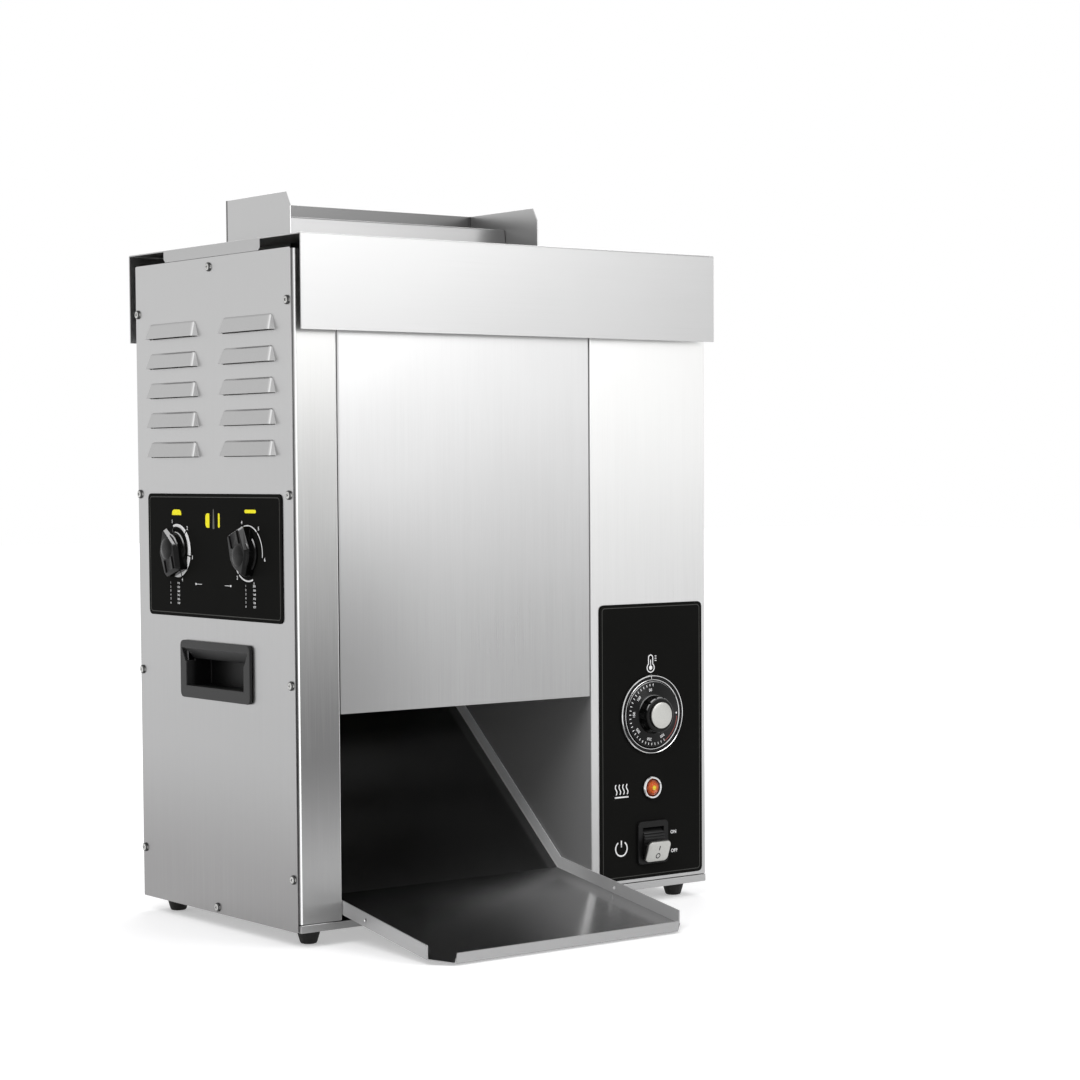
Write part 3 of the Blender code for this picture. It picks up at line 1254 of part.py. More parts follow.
def make_control_plates():
    """Printed black plates: one around the two knobs, one on the control box."""
    outline = rounded(
        rectangle(
            SIDE_PLATE_FRONT_MARGIN, BODY_DEPTH - SIDE_PLATE_REAR_MARGIN, SIDE_PLATE_BOTTOM, SIDE_PLATE_TOP,
        ),
        PLATE_CORNER,
    )
    holes = [circle(y, KNOB_Z, CAM_SHAFT_RADIUS + GAP) for y in (BASE_KNOB_Y, CROWN_KNOB_Y)]
    dress(plate("side_control_plate", "YZ", [outline, *holes], -(GAP + PLATE_THICKNESS), PLATE_THICKNESS), "printed")
    half_width = FRONT_PLATE_WIDTH / 2.0
    outline = rounded(
        rectangle(
            FRONT_PLATE_CENTRE_X - half_width, FRONT_PLATE_CENTRE_X + half_width,
            FRONT_PLATE_BOTTOM, FRONT_PLATE_BOTTOM + FRONT_PLATE_HEIGHT,
        ),
        PLATE_CORNER,
    )
    holes = [
        circle(DIAL_CENTRE_X, DIAL_CENTRE_Z, STEM_RADIUS + GAP),
        circle(DIAL_CENTRE_X, LAMP_CENTRE_Z, LAMP_LENS_RADIUS + GAP),
        switch_loop(SWITCH_TAIL, GAP),
    ]
    start = -(GAP + PLATE_THICKNESS)
    dress(plate("front_control_plate", "XZ", [outline, *holes], start, PLATE_THICKNESS), "printed")


CONTROL_FACE = -(GAP + PLATE_THICKNESS + GAP)


def make_thermostat():
    """Thermostat: body behind the sheet, fixed bezel ring, turning dial and its silver cap."""
    centre = (DIAL_CENTRE_X, CONTROL_FACE, DIAL_CENTRE_Z)
    edge = BEZEL_HEIGHT / 3.0
    bezel_profile = [
        (BEZEL_INNER_RADIUS, BEZEL_HEIGHT - edge),
        (BEZEL_INNER_RADIUS + edge, BEZEL_HEIGHT),
        (BEZEL_RADIUS - edge, BEZEL_HEIGHT),
        (BEZEL_RADIUS, edge),
        (BEZEL_RADIUS, 0.0),
        (BEZEL_INNER_RADIUS, 0.0),
    ]
    dress(turned("thermostat_bezel", bezel_profile, ROUND_STEPS, centre, FACING["front"]), "chrome")
    foot = GAP
    dial_profile = [
        (0.0, DIAL_HEIGHT),
        (DIAL_GRIP_TOP_RADIUS - edge, DIAL_HEIGHT),
        (DIAL_GRIP_TOP_RADIUS, DIAL_HEIGHT - edge),
        (DIAL_GRIP_RADIUS, DIAL_FLANGE),
        (DIAL_RADIUS - edge, DIAL_FLANGE),
        (DIAL_RADIUS, DIAL_FLANGE - edge),
        (DIAL_RADIUS, foot),
        (STEM_RADIUS, foot),
        (STEM_RADIUS, -DIAL_HEIGHT),
        (0.0, -DIAL_HEIGHT),
    ]
    dial = turned("thermostat_dial", dial_profile, ROUND_STEPS, centre, FACING["front"])
    for index in range(DIAL_FLUTES):
        angle = 2.0 * math.pi * (index + DIAL_FLUTE_PHASE_SHARE) / DIAL_FLUTES
        place = (
            DIAL_CENTRE_X + DIAL_GRIP_RADIUS * math.cos(angle),
            CONTROL_FACE - DIAL_FLANGE - KNOB_EDGE,
            DIAL_CENTRE_Z + DIAL_GRIP_RADIUS * math.sin(angle),
        )
        cut(dial, rod(f"dial_flute_{index}", DIAL_FLUTE_RADIUS, DIAL_HEIGHT, "front", place, TINY_STEPS))
    dress(dial, "black_plastic")
    cap_profile = [
        (0.0, CAP_HEIGHT),
        (CAP_RADIUS - CAP_HEIGHT / 2.0, CAP_HEIGHT),
        (CAP_RADIUS, CAP_HEIGHT / 2.0),
        (CAP_RADIUS, 0.0),
        (0.0, 0.0),
    ]
    cap_place = (DIAL_CENTRE_X, CONTROL_FACE - DIAL_HEIGHT - GAP, DIAL_CENTRE_Z)
    dress(turned("thermostat_cap", cap_profile, ROUND_STEPS, cap_place, FACING["front"]), "silver")
    width, depth, height = THERMOSTAT_SIZE
    start = SHEET + GAP
    body = block(
        "thermostat_body",
        (DIAL_CENTRE_X - width / 2.0, start, DIAL_CENTRE_Z - height / 2.0),
        (DIAL_CENTRE_X + width / 2.0, start + depth, DIAL_CENTRE_Z + height / 2.0),
        KNOB_EDGE,
    )
    stem_well = rod("stem_well", STEM_RADIUS + GAP, DIAL_HEIGHT, "rear", (DIAL_CENTRE_X, start - OVERRUN, DIAL_CENTRE_Z))
    dress(cut(body, stem_well), "zinc")


def make_lamp():
    """Pilot lamp: chrome bezel ring and a faceted amber lens on its barrel."""
    centre = (DIAL_CENTRE_X, CONTROL_FACE, LAMP_CENTRE_Z)
    inner = LAMP_LENS_RADIUS + GAP
    edge = LAMP_BEZEL_HEIGHT / 3.0
    bezel = [
        (inner, LAMP_BEZEL_HEIGHT),
        (LAMP_BEZEL_RADIUS - edge, LAMP_BEZEL_HEIGHT),
        (LAMP_BEZEL_RADIUS, LAMP_BEZEL_HEIGHT - edge),
        (LAMP_BEZEL_RADIUS, 0.0),
        (inner, 0.0),
    ]
    dress(turned("lamp_bezel", bezel, ROUND_STEPS, centre, FACING["front"]), "chrome")
    dome_shares = ((0.0, 1.0), (0.45, 0.92), (0.80, 0.66), (1.0, 0.20))
    lens = [(LAMP_LENS_RADIUS * r, LAMP_LENS_HEIGHT * z) for r, z in dome_shares]
    lens += [(LAMP_LENS_RADIUS, -LAMP_BARREL), (0.0, -LAMP_BARREL)]
    dress(turned("lamp_lens", lens, LAMP_FACETS, centre, FACING["front"]), "amber")


def switch_loop(halves, spread=0.0):
    """Upright rectangle about the switch's centre in (x, z), from its half sizes."""
    half_width, half_height = halves
    return rectangle(
        DIAL_CENTRE_X - half_width - spread, DIAL_CENTRE_X + half_width + spread,
        SWITCH_CENTRE_Z - half_height - spread, SWITCH_CENTRE_Z + half_height + spread,
    )


def switch_window(name, start, thickness):
    """Cutter for the switch's tail through a sheet."""
    loop = switch_loop(SWITCH_TAIL, GAP)
    return plate(name, "XZ", [loop], start - OVERRUN, thickness + 2.0 * OVERRUN)


def make_switch():
    """Sealed switch: rimmed housing, black drum that swings in its well, and a silver paddle."""
    rim = rounded(switch_loop((SWITCH_WIDTH / 2.0, SWITCH_HEIGHT / 2.0)), SWITCH_CORNER)
    housing = plate("switch_housing", "XZ", [rim, switch_loop(SWITCH_WELL)], CONTROL_FACE - SWITCH_RIM, SWITCH_RIM)
    tail = plate("switch_tail", "XZ", [switch_loop(SWITCH_TAIL)], CONTROL_FACE - SWITCH_RIM / 2.0, SWITCH_DEPTH)
    pocket = plate(
        "switch_pocket", "XZ", [switch_loop(SWITCH_TAIL, -SWITCH_WALL)],
        CONTROL_FACE, SWITCH_DEPTH - SWITCH_RIM / 2.0 - SWITCH_WALL,
    )
    mouth = plate("switch_mouth", "XZ", [switch_loop(SWITCH_WELL)], CONTROL_FACE - SWITCH_RIM - OVERRUN,
                  SWITCH_RIM + OVERRUN + OVERRUN)
    dress(cut(join(housing, tail), pocket, mouth), "black_plastic")
    pivot = (DIAL_CENTRE_X, CONTROL_FACE + PADDLE_PIVOT_DEPTH, SWITCH_CENTRE_Z)
    rest = Euler((PADDLE_SWING, 0.0, 0.0))
    half = SWITCH_WELL[0] - GAP
    drum = []
    for step in range(PADDLE_DRUM_STEPS + 1):
        angle = PADDLE_DRUM_HALF_ANGLE * (1.0 - 2.0 * step / PADDLE_DRUM_STEPS)
        drum.append((-PADDLE_DRUM_RADIUS * math.cos(angle), PADDLE_DRUM_RADIUS * math.sin(angle)))
    drum += [(PADDLE_HUB, -PADDLE_HUB), (PADDLE_HUB, PADDLE_HUB)]
    paddle = plate("switch_paddle", "YZ", [drum], -half, 2.0 * half, pivot, rest)
    stem = block(
        "paddle_stem",
        (-half, -PADDLE_REACH, -PADDLE_STEM / 2.0),
        (half, -PADDLE_HUB, PADDLE_STEM / 2.0),
        0.0, pivot, rest,
    )
    dress(join(paddle, stem), "black_plastic")
    width, height = PADDLE_CAP
    loop = rounded(rectangle(-width / 2.0, width / 2.0, -height / 2.0, height / 2.0), PADDLE_CAP_CORNER)
    start = -(PADDLE_REACH + GAP + PADDLE_CAP_THICKNESS)
    cap = plate("switch_cap", "XZ", [loop], start, PADDLE_CAP_THICKNESS, pivot, rest)
    dress(cap, "silver")


def tangent_points(first, second):
    """Where a chain leaves one wheel and meets the next; a wheel is (y, z, radius, turning)."""
    a = Vector((first[0], first[1]))
    b = Vector((second[0], second[1]))
    line = b - a
    swing = first[2] * first[3] - second[2] * second[3]
    base = math.atan2(line.y, line.x)
    lean = math.acos(swing / line.length)
    angle = base - lean
    out = Vector((math.cos(angle), math.sin(angle)))
    return a + out * (first[2] * first[3]), b + out * (second[2] * second[3])


def chain_path(offset):
    """Closed chain line around the wheels, moved outward by offset."""
    wheels = []
    for y, z, radius, turning in CHAIN_WHEELS:
        wheels.append((y, z, radius + turning * offset, turning))
    count = len(wheels)
    path = []
    for index, wheel in enumerate(wheels):
        arrive = tangent_points(wheels[index - 1], wheel)[1]
        leave = tangent_points(wheel, wheels[(index + 1) % count])[0]
        centre = Vector((wheel[0], wheel[1]))
        start = math.atan2(*(reversed(arrive - centre)))
        finish = math.atan2(*(reversed(leave - centre)))
        sweep = (finish - start) * wheel[3] % (2.0 * math.pi) * wheel[3]
        for step in range(CHAIN_ARC_STEPS + 1):
            angle = start + sweep * step / CHAIN_ARC_STEPS
            path.append((wheel[0] + wheel[2] * math.cos(angle), wheel[1] + wheel[2] * math.sin(angle)))
    return path


WRAP = CHAIN_SPROCKET_RADIUS + GAP + CHAIN_THICKNESS / 2.0
CHAIN_WHEELS = (
    (MOTOR_Y, MOTOR_Z, WRAP, 1.0),
    (CHAIN_IDLER_Y, CHAIN_IDLER_Z, CHAIN_IDLER_RADIUS + GAP + CHAIN_THICKNESS / 2.0, 1.0),
    (CROWN_BELT_Y, BELT_BOTTOM_Z, WRAP, -1.0),
    (BASE_BELT_Y, BELT_BOTTOM_Z, WRAP, 1.0),
)


def make_drive():
    """Gear motor on the pan, its sprocket, the chain over both drive shafts and its idler."""
    half = CHAIN_THICKNESS / 2.0
    loops = [chain_path(half), chain_path(-half)]
    dress(plate("drive_chain", "YZ", loops, DRIVE_PLANE, CHAIN_WIDTH), "zinc")
    gearbox_x = DRIVE_PLANE + CHAIN_WIDTH + MOTOR_GAP
    width, depth, height = GEARBOX_SIZE
    motor = block(
        "gear_motor",
        (gearbox_x, MOTOR_Y - depth / 2.0, MOTOR_Z - height / 2.0),
        (gearbox_x + width, MOTOR_Y + depth / 2.0, MOTOR_Z + height / 2.0),
        KNOB_EDGE,
    )
    can = rod("motor_can", MOTOR_RADIUS, MOTOR_LENGTH + OVERRUN, "right", (gearbox_x + width - OVERRUN, MOTOR_Y, MOTOR_Z))
    foot_w, foot_d, foot_t = MOTOR_FOOT
    foot_z = PAN_Z + SHEET + GAP
    foot = block(
        "motor_foot",
        (gearbox_x - (foot_w - width) / 2.0, MOTOR_Y - foot_d / 2.0, foot_z),
        (gearbox_x + foot_w - (foot_w - width) / 2.0, MOTOR_Y + foot_d / 2.0, foot_z + foot_t),
    )
    riser = block(
        "motor_riser",
        (gearbox_x + KNOB_EDGE, MOTOR_Y - depth / 3.0, foot_z + foot_t / 2.0),
        (gearbox_x + width - KNOB_EDGE, MOTOR_Y + depth / 3.0, MOTOR_Z - height / 4.0),
    )
    well = rod("motor_well", MOTOR_SHAFT_RADIUS + GAP, MOTOR_GAP + OVERRUN, "right",
               (gearbox_x - OVERRUN, MOTOR_Y, MOTOR_Z))
    dress(cut(join(motor, can, foot, riser), well), "zinc")
    outline = toothed(CHAIN_SPROCKET_TEETH, CHAIN_SPROCKET_RADIUS - CHAIN_TOOTH, CHAIN_SPROCKET_RADIUS)
    place = (0.0, MOTOR_Y, MOTOR_Z)
    sprocket = plate("motor_sprocket", "YZ", [outline], DRIVE_PLANE, CHAIN_WIDTH, place)
    axle = rod("motor_axle", MOTOR_SHAFT_RADIUS, SHEET + CHAIN_WIDTH + MOTOR_GAP + MOTOR_GAP - GAP, "right",
               (DRIVE_PLANE - SHEET, MOTOR_Y, MOTOR_Z))
    dress(join(sprocket, axle), "zinc")
    idler_outline = toothed(CHAIN_IDLER_TEETH, CHAIN_IDLER_RADIUS - CHAIN_TOOTH, CHAIN_IDLER_RADIUS)
    bore = circle(0.0, 0.0, MOTOR_SHAFT_RADIUS + GAP)
    idler_place = (0.0, CHAIN_IDLER_Y, CHAIN_IDLER_Z)
    idler = plate("chain_idler", "YZ", [idler_outline, bore], DRIVE_PLANE, CHAIN_WIDTH, idler_place)
    dress(idler, "zinc")
    stud_start = RIGHT_WALL_OUTER + GAP
    stud = rod("idler_stud", MOTOR_SHAFT_RADIUS, DRIVE_X + CHAIN_WIDTH + SHEET, "right",
               (stud_start, CHAIN_IDLER_Y, CHAIN_IDLER_Z))
    collar = rod("idler_collar", BUSH_RADIUS, DRIVE_X - GAP - GAP, "right", (stud_start, CHAIN_IDLER_Y, CHAIN_IDLER_Z))
    dress(join(stud, collar), "zinc")


def make_gland():
    """Round gland in the rear panel that the supply cord enters by."""
    profile = [
        (GLAND_BORE, GLAND_HEIGHT),
        (GLAND_RADIUS, GLAND_HEIGHT),
        (GLAND_FLANGE_RADIUS, GLAND_HEIGHT / 3.0),
        (GLAND_FLANGE_RADIUS, GAP),
        (GLAND_RADIUS, GAP),
        (GLAND_RADIUS, -GLAND_TAIL),
        (GLAND_BORE, -GLAND_TAIL),
    ]
    gland = turned("cord_gland", profile, SMALL_STEPS, (GLAND_X, BODY_DEPTH, GLAND_Z), FACING["rear"])
    dress(gland, "black_plastic")


make_base_pan()
make_feet()
make_left_frame()
make_right_frame()
make_rear_panel()
make_side_panel("left_side_panel", 0.0, SHEET, -1.0)
make_side_panel("right_side_panel", BODY_WIDTH, BODY_WIDTH - SHEET, 1.0)
make_front_cover()
make_lid()
make_feeder()
make_divider()
make_chute_tray()
make_handle("left_handle", 0.0, -1.0)
make_handle("right_handle", BODY_WIDTH, 1.0)
make_control_plates()
for lane_tag, lane_belt_y, lane_cam_y, lane_side, lane_pointer in LANES:
    make_knob(lane_tag, lane_cam_y, lane_pointer)
    make_cam_shaft(lane_tag, lane_belt_y, lane_cam_y, lane_side)
    make_pressure_plate(lane_tag, lane_belt_y, lane_side)
    make_belt(lane_tag, lane_belt_y)
    for shaft_level, shaft_z in (("drive", BELT_BOTTOM_Z), ("idler", BELT_TOP_Z)):
        end = DRIVE_PLANE + CHAIN_WIDTH + SHEET if shaft_level == "drive" else RIGHT_WALL_OUTER + SHAFT_END
        make_belt_shaft(lane_tag, shaft_level, lane_belt_y, shaft_z, end)
        for bush_side in ("left", "right"):
            make_bush(lane_tag, shaft_level, bush_side, lane_belt_y, shaft_z)
make_platen()
make_thermostat()
make_lamp()
make_switch()
make_drive()
make_gland()
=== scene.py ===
import math

import bpy
from mathutils import Matrix, Vector


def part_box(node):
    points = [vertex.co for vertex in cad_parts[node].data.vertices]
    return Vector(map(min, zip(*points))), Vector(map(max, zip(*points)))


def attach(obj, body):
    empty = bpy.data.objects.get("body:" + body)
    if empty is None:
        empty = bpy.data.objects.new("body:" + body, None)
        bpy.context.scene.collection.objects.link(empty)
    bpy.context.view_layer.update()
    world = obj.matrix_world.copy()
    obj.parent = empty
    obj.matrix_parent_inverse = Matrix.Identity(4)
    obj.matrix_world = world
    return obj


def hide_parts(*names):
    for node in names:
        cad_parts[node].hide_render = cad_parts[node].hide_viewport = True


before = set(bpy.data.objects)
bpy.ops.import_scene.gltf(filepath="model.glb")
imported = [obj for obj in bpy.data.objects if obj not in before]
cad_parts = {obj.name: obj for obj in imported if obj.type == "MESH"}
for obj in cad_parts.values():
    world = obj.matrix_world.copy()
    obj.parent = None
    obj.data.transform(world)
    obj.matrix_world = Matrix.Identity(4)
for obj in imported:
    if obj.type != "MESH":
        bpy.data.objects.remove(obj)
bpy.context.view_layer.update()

# The casing's left front corner at floor level. Places below are given from it in millimetres:
# x to the right along the front, y to the rear, z up. Finishes measure in metres.
corner = Vector((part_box("top_cover")[0].x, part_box("front_cover")[0].y, 0.0))


def at(x, y, z):
    return corner + Vector((x, y, z)) * 0.001


# Camera: a long lens a little above the tray, looking along the front's left corner, with the
# frame raised by the lens shift so that the uprights stay upright.
yaw, pitch, roll = math.radians(37.42), math.radians(3.24), math.radians(-0.36)
film_width, picture_width, lens_reach = 36.0, 1080.0, 2631.2
look = Vector((math.sin(yaw) * math.cos(pitch), math.cos(yaw) * math.cos(pitch), -math.sin(pitch)))
level = look.cross(Vector((0.0, 0.0, 1.0))).normalized()
plumb = level.cross(look)
right = level * math.cos(roll) + plumb * math.sin(roll)
up = plumb * math.cos(roll) - level * math.sin(roll)
bpy.ops.object.select_all(action="DESELECT")
bpy.ops.object.camera_add()
camera = bpy.context.object
camera.name = "camera"
camera.matrix_world = (Matrix.Translation(at(-1243.3, -1979.9, 426.5))
                       @ Matrix((right, up, -look)).transposed().to_4x4())
camera.data.sensor_width = film_width
camera.data.lens = lens_reach * film_width / picture_width
camera.data.shift_y = 0.0727
camera.data.clip_end = 60.0
bpy.context.scene.camera = camera
bpy.context.scene.view_settings.view_transform = "Standard"


# The room: a wide pale floor, a white surround and three soft lamps. The floor takes a little
# light of its own where the camera or a bright sheet sees it, and keeps the toaster's shadow.
class Value:
    """A socket that stands in a sum."""

    def __init__(self, paint, made, out):
        self.paint, self.made = paint, made
        self.socket = made.outputs[out] if made.outputs else None

    def maths(self, operation, *terms):
        return self.paint.node("ShaderNodeMath", {"operation": operation}, dict(enumerate(terms)))

    def __add__(self, other):
        return self.maths("ADD", self, other)

    def __sub__(self, other):
        return self.maths("SUBTRACT", self, other)

    def __rsub__(self, other):
        return self.maths("SUBTRACT", other, self)

    def __mul__(self, other):
        return self.maths("MULTIPLY", self, other)

    def __gt__(self, other):
        return self.maths("GREATER_THAN", self, other)

    def __lt__(self, other):
        return self.maths("LESS_THAN", self, other)

    def __or__(self, other):
        return self.maths("MAXIMUM", self, other)

    def __and__(self, other):
        return self.maths("MINIMUM", self, other)

    def __abs__(self):
        return self.maths("ABSOLUTE", self)

    __radd__, __rmul__ = __add__, __mul__

    def root(self):
        return self.maths("SQRT", self)

    def part(self, out):
        """Another output of the same node."""
        return Value(self.paint, self.made, out)

    def soft(self, low, high):
        """0 below low, 1 above high, and a smooth step between them."""
        return self.paint.node("ShaderNodeMapRange", {"interpolation_type": "SMOOTHSTEP"},
                               {"Value": self, "From Min": low, "From Max": high})


class Paint:
    """A node tree that a finish is written in."""

    def __init__(self, tree):
        self.tree = tree
        tree.nodes.clear()

    def node(self, kind, settings=None, values=None, out=0):
        """A node of any kind. Its settings are made first, then its sockets are filled or linked."""
        made = self.tree.nodes.new(kind)
        for key, value in (settings or {}).items():
            setattr(made, key, value)
        for key, value in (values or {}).items():
            if isinstance(value, Value):
                self.tree.links.new(value.socket, made.inputs[key])
            else:
                made.inputs[key].default_value = value
        return Value(self, made, out)

    def mix(self, first, second, factor):
        """A colour between two."""
        return self.node("ShaderNodeMix", {"data_type": "RGBA"}, {0: factor, 6: first, 7: second}, out=2)

    def along(self, vector, axis):
        """One axis of a place or a direction."""
        return self.node("ShaderNodeSeparateXYZ", {}, {0: vector}, out=axis)

    def place(self, axis=None):
        """Where a point of the toaster lies, or how far along one axis."""
        point = self.node("ShaderNodeTexCoord", out="Object")
        return self.along(point, axis) if axis else point

    def facing(self, axis):
        """How far a face looks along an axis, from -1 to 1."""
        return self.along(self.node("ShaderNodeNewGeometry", out="True Normal"), axis)

    def seen(self):
        """1 where the camera or a bright sheet sees a thing, 0 where it only sheds light."""
        ray = self.node("ShaderNodeLightPath", out="Is Camera Ray")
        return ray | ray.part("Is Glossy Ray") | ray.part("Is Transmission Ray")

    def noise(self, grains, detail=2.0, rough=0.55):
        """Noise with so many grains a metre, the same every way or given for x, y and z."""
        across = grains if isinstance(grains, tuple) else (grains, grains, grains)
        where = self.node("ShaderNodeMapping", {}, {"Vector": self.place(), "Scale": across})
        return self.node("ShaderNodeTexNoise", {},
                         {"Vector": where, "Scale": 1.0, "Detail": detail, "Roughness": rough})

    def bump(self, height, strength, distance):
        values = {"Height": height, "Strength": strength, "Distance": distance}
        return self.node("ShaderNodeBump", {}, values, out="Normal")

    def surface(self, **values):
        """Closes the finish with its shader. Names stand for the shader's sockets."""
        names = {key: key.replace("_", " ").title().replace("Ior", "IOR") for key in values}
        sockets = {names[key]: value for key, value in values.items()}
        shader = self.node("ShaderNodeBsdfPrincipled", {}, sockets)
        self.node("ShaderNodeOutputMaterial", {}, {"Surface": shader})


def finish(name):
    """A new material and the paint that it is written with."""
    made = bpy.data.materials.new(name)
    made.use_nodes = True
    return made, Paint(made.node_tree)


def grey(tone):
    return tone, tone, tone, 1.0


world = bpy.data.worlds.new("surround")
bpy.context.scene.world = world
world.use_nodes = True
paint = Paint(world.node_tree)
surround = paint.mix((0.52, 0.52, 0.53, 1.0), grey(1.0), paint.seen())
paint.node("ShaderNodeOutputWorld", {}, {
    "Surface": paint.node("ShaderNodeBackground", {}, {"Color": surround, "Strength": 1.0})})

bpy.ops.mesh.primitive_plane_add(size=24.0, location=(0.0, 0.0, -0.0004))
floor = bpy.context.object
floor.name = "floor"
pale_floor, paint = finish("pale_floor")
away = paint.node("ShaderNodeVectorMath", {"operation": "LENGTH"}, {0: paint.place()}, out="Value")
glow = paint.mix(grey(0.36), grey(0.8), away.soft(0.7, 3.4))
paint.surface(base_color=paint.mix(grey(0.80), grey(0.82), paint.noise(0.8)), roughness=0.9,
              specular_ior_level=0.1, emission_color=paint.mix(grey(0.0), glow, paint.seen()),
              emission_strength=1.0)
floor.data.materials.append(pale_floor)

toaster_middle = at(240.0, 120.0, 300.0)
for name, place, size, power in (
        ("key", (-1500.0, -900.0, 2100.0), 1.7, 30.0),
        ("front", (1250.0, -2300.0, 1500.0), 1.6, 22.0),
        ("rear", (1400.0, 1700.0, 1900.0), 1.6, 22.0)):
    bpy.ops.object.light_add(type="AREA", location=at(*place))
    lamp = bpy.context.object
    lamp.name = name + "_lamp"
    lamp.data.shape = "DISK"
    lamp.data.size = size
    lamp.data.energy = power
    lamp.rotation_euler = (toaster_middle - lamp.location).to_track_quat("-Z", "Y").to_euler()
    lamp.visible_glossy = name != "key"


# Base pan: stainless sheet 1.2 mm thick, folded up on a press, that the frames, the motor and the
# feet are screwed to. Like the whole casing it keeps the mill's fine grain and has broken edges.
def rgb(code):
    """A colour as it is seen, such as b4b4b2, in linear light."""
    shown = [int(code[i:i + 2], 16) / 255.0 for i in (0, 2, 4)]
    return tuple(c / 12.92 if c <= 0.04045 else ((c + 0.055) / 1.055) ** 2.4 for c in shown) + (1.0,)


def stainless(name, run, upper, middle, lower, rough=0.3, spot=None, dull=0.0, shade_hoods=False):
    """Satin sheet whose grain runs along x, y or z, with painted light and shade: its three tones, from
    the floor to the top, stand in for what it mirrors of the darker floor and the bright room. A spot
    is a tone and where it lies, and it can be duller. Pressed hoods can be given painted shade."""
    made, paint = finish(name)
    grain = paint.noise(tuple(12.0 if axis == run else 1500.0 for axis in "xyz"), 3.0, 0.6)
    bands = paint.noise(tuple(2.0 if axis == run else 200.0 for axis in "xyz"), 2.0, 0.5)
    cloud = paint.noise(5.0, 2.0, 0.5)
    height = paint.place("Z")
    stray = (grain - 0.5) * 0.24 + (bands - 0.5) * 0.08 + (cloud - 0.5) * 0.2
    # Painted shade: faces that tilt up or down, as the pressed hoods' faces do, are made darker.
    if shade_hoods:
        stray = stray - abs(paint.facing("Z"))
    # Painted light and shade: lower, middle and upper tones from the floor to the top, in place of what the
    # sheet mirrors.
    tone = paint.mix(rgb(lower), rgb(middle), height.soft(0.03, 0.18) + stray)
    tone = paint.mix(tone, rgb(upper), height.soft(0.17, 0.54) + stray)
    metallic = 1.0
    if spot:
        code, lies = spot
        there = lies(paint)
        tone = paint.mix(tone, rgb(code), there)
        if dull:
            metallic = 1.0 - there * dull
    paint.surface(base_color=tone, metallic=metallic,
                  roughness=grain * 0.06 + cloud * 0.08 + (rough - 0.07),
                  normal=paint.bump(grain + bands * 0.6, 0.05, 0.0001))
    return made


def dress(node, made, edge=0.35):
    """Gives a CAD node its finish, and edges broken by so many millimetres."""
    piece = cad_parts[node]
    piece.data.materials.clear()
    piece.data.materials.append(made)
    if edge:
        weld = piece.modifiers.new("weld", "WELD")
        weld.merge_threshold = 0.00001
        broken = piece.modifiers.new("broken_edges", "BEVEL")
        broken.width = edge * 0.001
        broken.segments = 2
        broken.limit_method = "ANGLE"
        broken.angle_limit = math.radians(40.0)


dress("base_pan", stainless("pan_sheet", "x", "b8b8b8", "b0b0b0", "a4a4a4"))


# Feet: black rubber, moulded with a taper and a little bloom on the skin, each held by a screw
# from inside the pan. One is modelled and copied to the four corners.
def grained(name, dark, light, grain, gloss, dents=None, **shader):
    """A finish with one grain. Gloss is its least roughness and what the grain adds to it, and
    dents are the strength and the height of its bump."""
    made, paint = finish(name)
    fleck = paint.noise(*grain)
    if dents:
        shader["normal"] = paint.bump(fleck, *dents)
    paint.surface(base_color=paint.mix(rgb(dark), rgb(light), fleck),
                  roughness=fleck * gloss[1] + gloss[0], **shader)
    return made


sides = {"left": Matrix(((0, 0, -1), (-1, 0, 0), (0, 1, 0))).to_4x4(),
         "right": Matrix(((0, 0, 1), (1, 0, 0), (0, 1, 0))).to_4x4(),
         "front": Matrix(((1, 0, 0), (0, 0, -1), (0, 1, 0))).to_4x4(),
         "rear": Matrix(((-1, 0, 0), (0, 0, 1), (0, 1, 0))).to_4x4(),
         "top": Matrix.Identity(4)}


def named(name):
    """The primitive just added, under its piece's name."""
    piece = bpy.context.object
    piece.name = piece.data.name = name
    return piece


def alone(piece):
    """Leaves edit mode and selects one piece."""
    if bpy.context.mode != "OBJECT":
        bpy.ops.object.mode_set(mode="OBJECT")
    bpy.ops.object.select_all(action="DESELECT")
    piece.select_set(True)
    bpy.context.view_layer.objects.active = piece


def every(centre, normal):
    """What pick takes when nothing is left out."""
    return True


def pick(piece, kind, wanted=every):
    """In edit mode, selects the faces or points whose centre and normal are wanted."""
    alone(piece)
    mesh = piece.data
    bpy.context.tool_settings.mesh_select_mode = (kind == "VERT", False, kind == "FACE")
    for items in (mesh.vertices, mesh.edges, mesh.polygons):
        items.foreach_set("select", [False] * len(items))
    if kind == "FACE":
        for face in mesh.polygons:
            face.select = wanted(face.center, face.normal)
    else:
        for point in mesh.vertices:
            point.select = wanted(point.co, point.normal)
    bpy.ops.object.mode_set(mode="EDIT")


def moved(piece, across, high, out):
    """Moves all points of a piece, and stays in edit mode."""
    pick(piece, "VERT")
    bpy.ops.transform.translate(value=(across, high, out))
    return piece


def outward(piece):
    """Merges what meets and turns every face outwards."""
    pick(piece, "FACE")
    bpy.ops.mesh.select_all(action="SELECT")
    bpy.ops.mesh.remove_doubles(threshold=0.0005)
    bpy.ops.mesh.normals_make_consistent(inside=False)
    bpy.ops.object.mode_set(mode="OBJECT")
    return piece


def smooth(piece, angle=35.0):
    """Shades a piece round, but for edges sharper than an angle in degrees."""
    alone(piece)
    bpy.ops.object.shade_smooth_by_angle(angle=math.radians(angle))


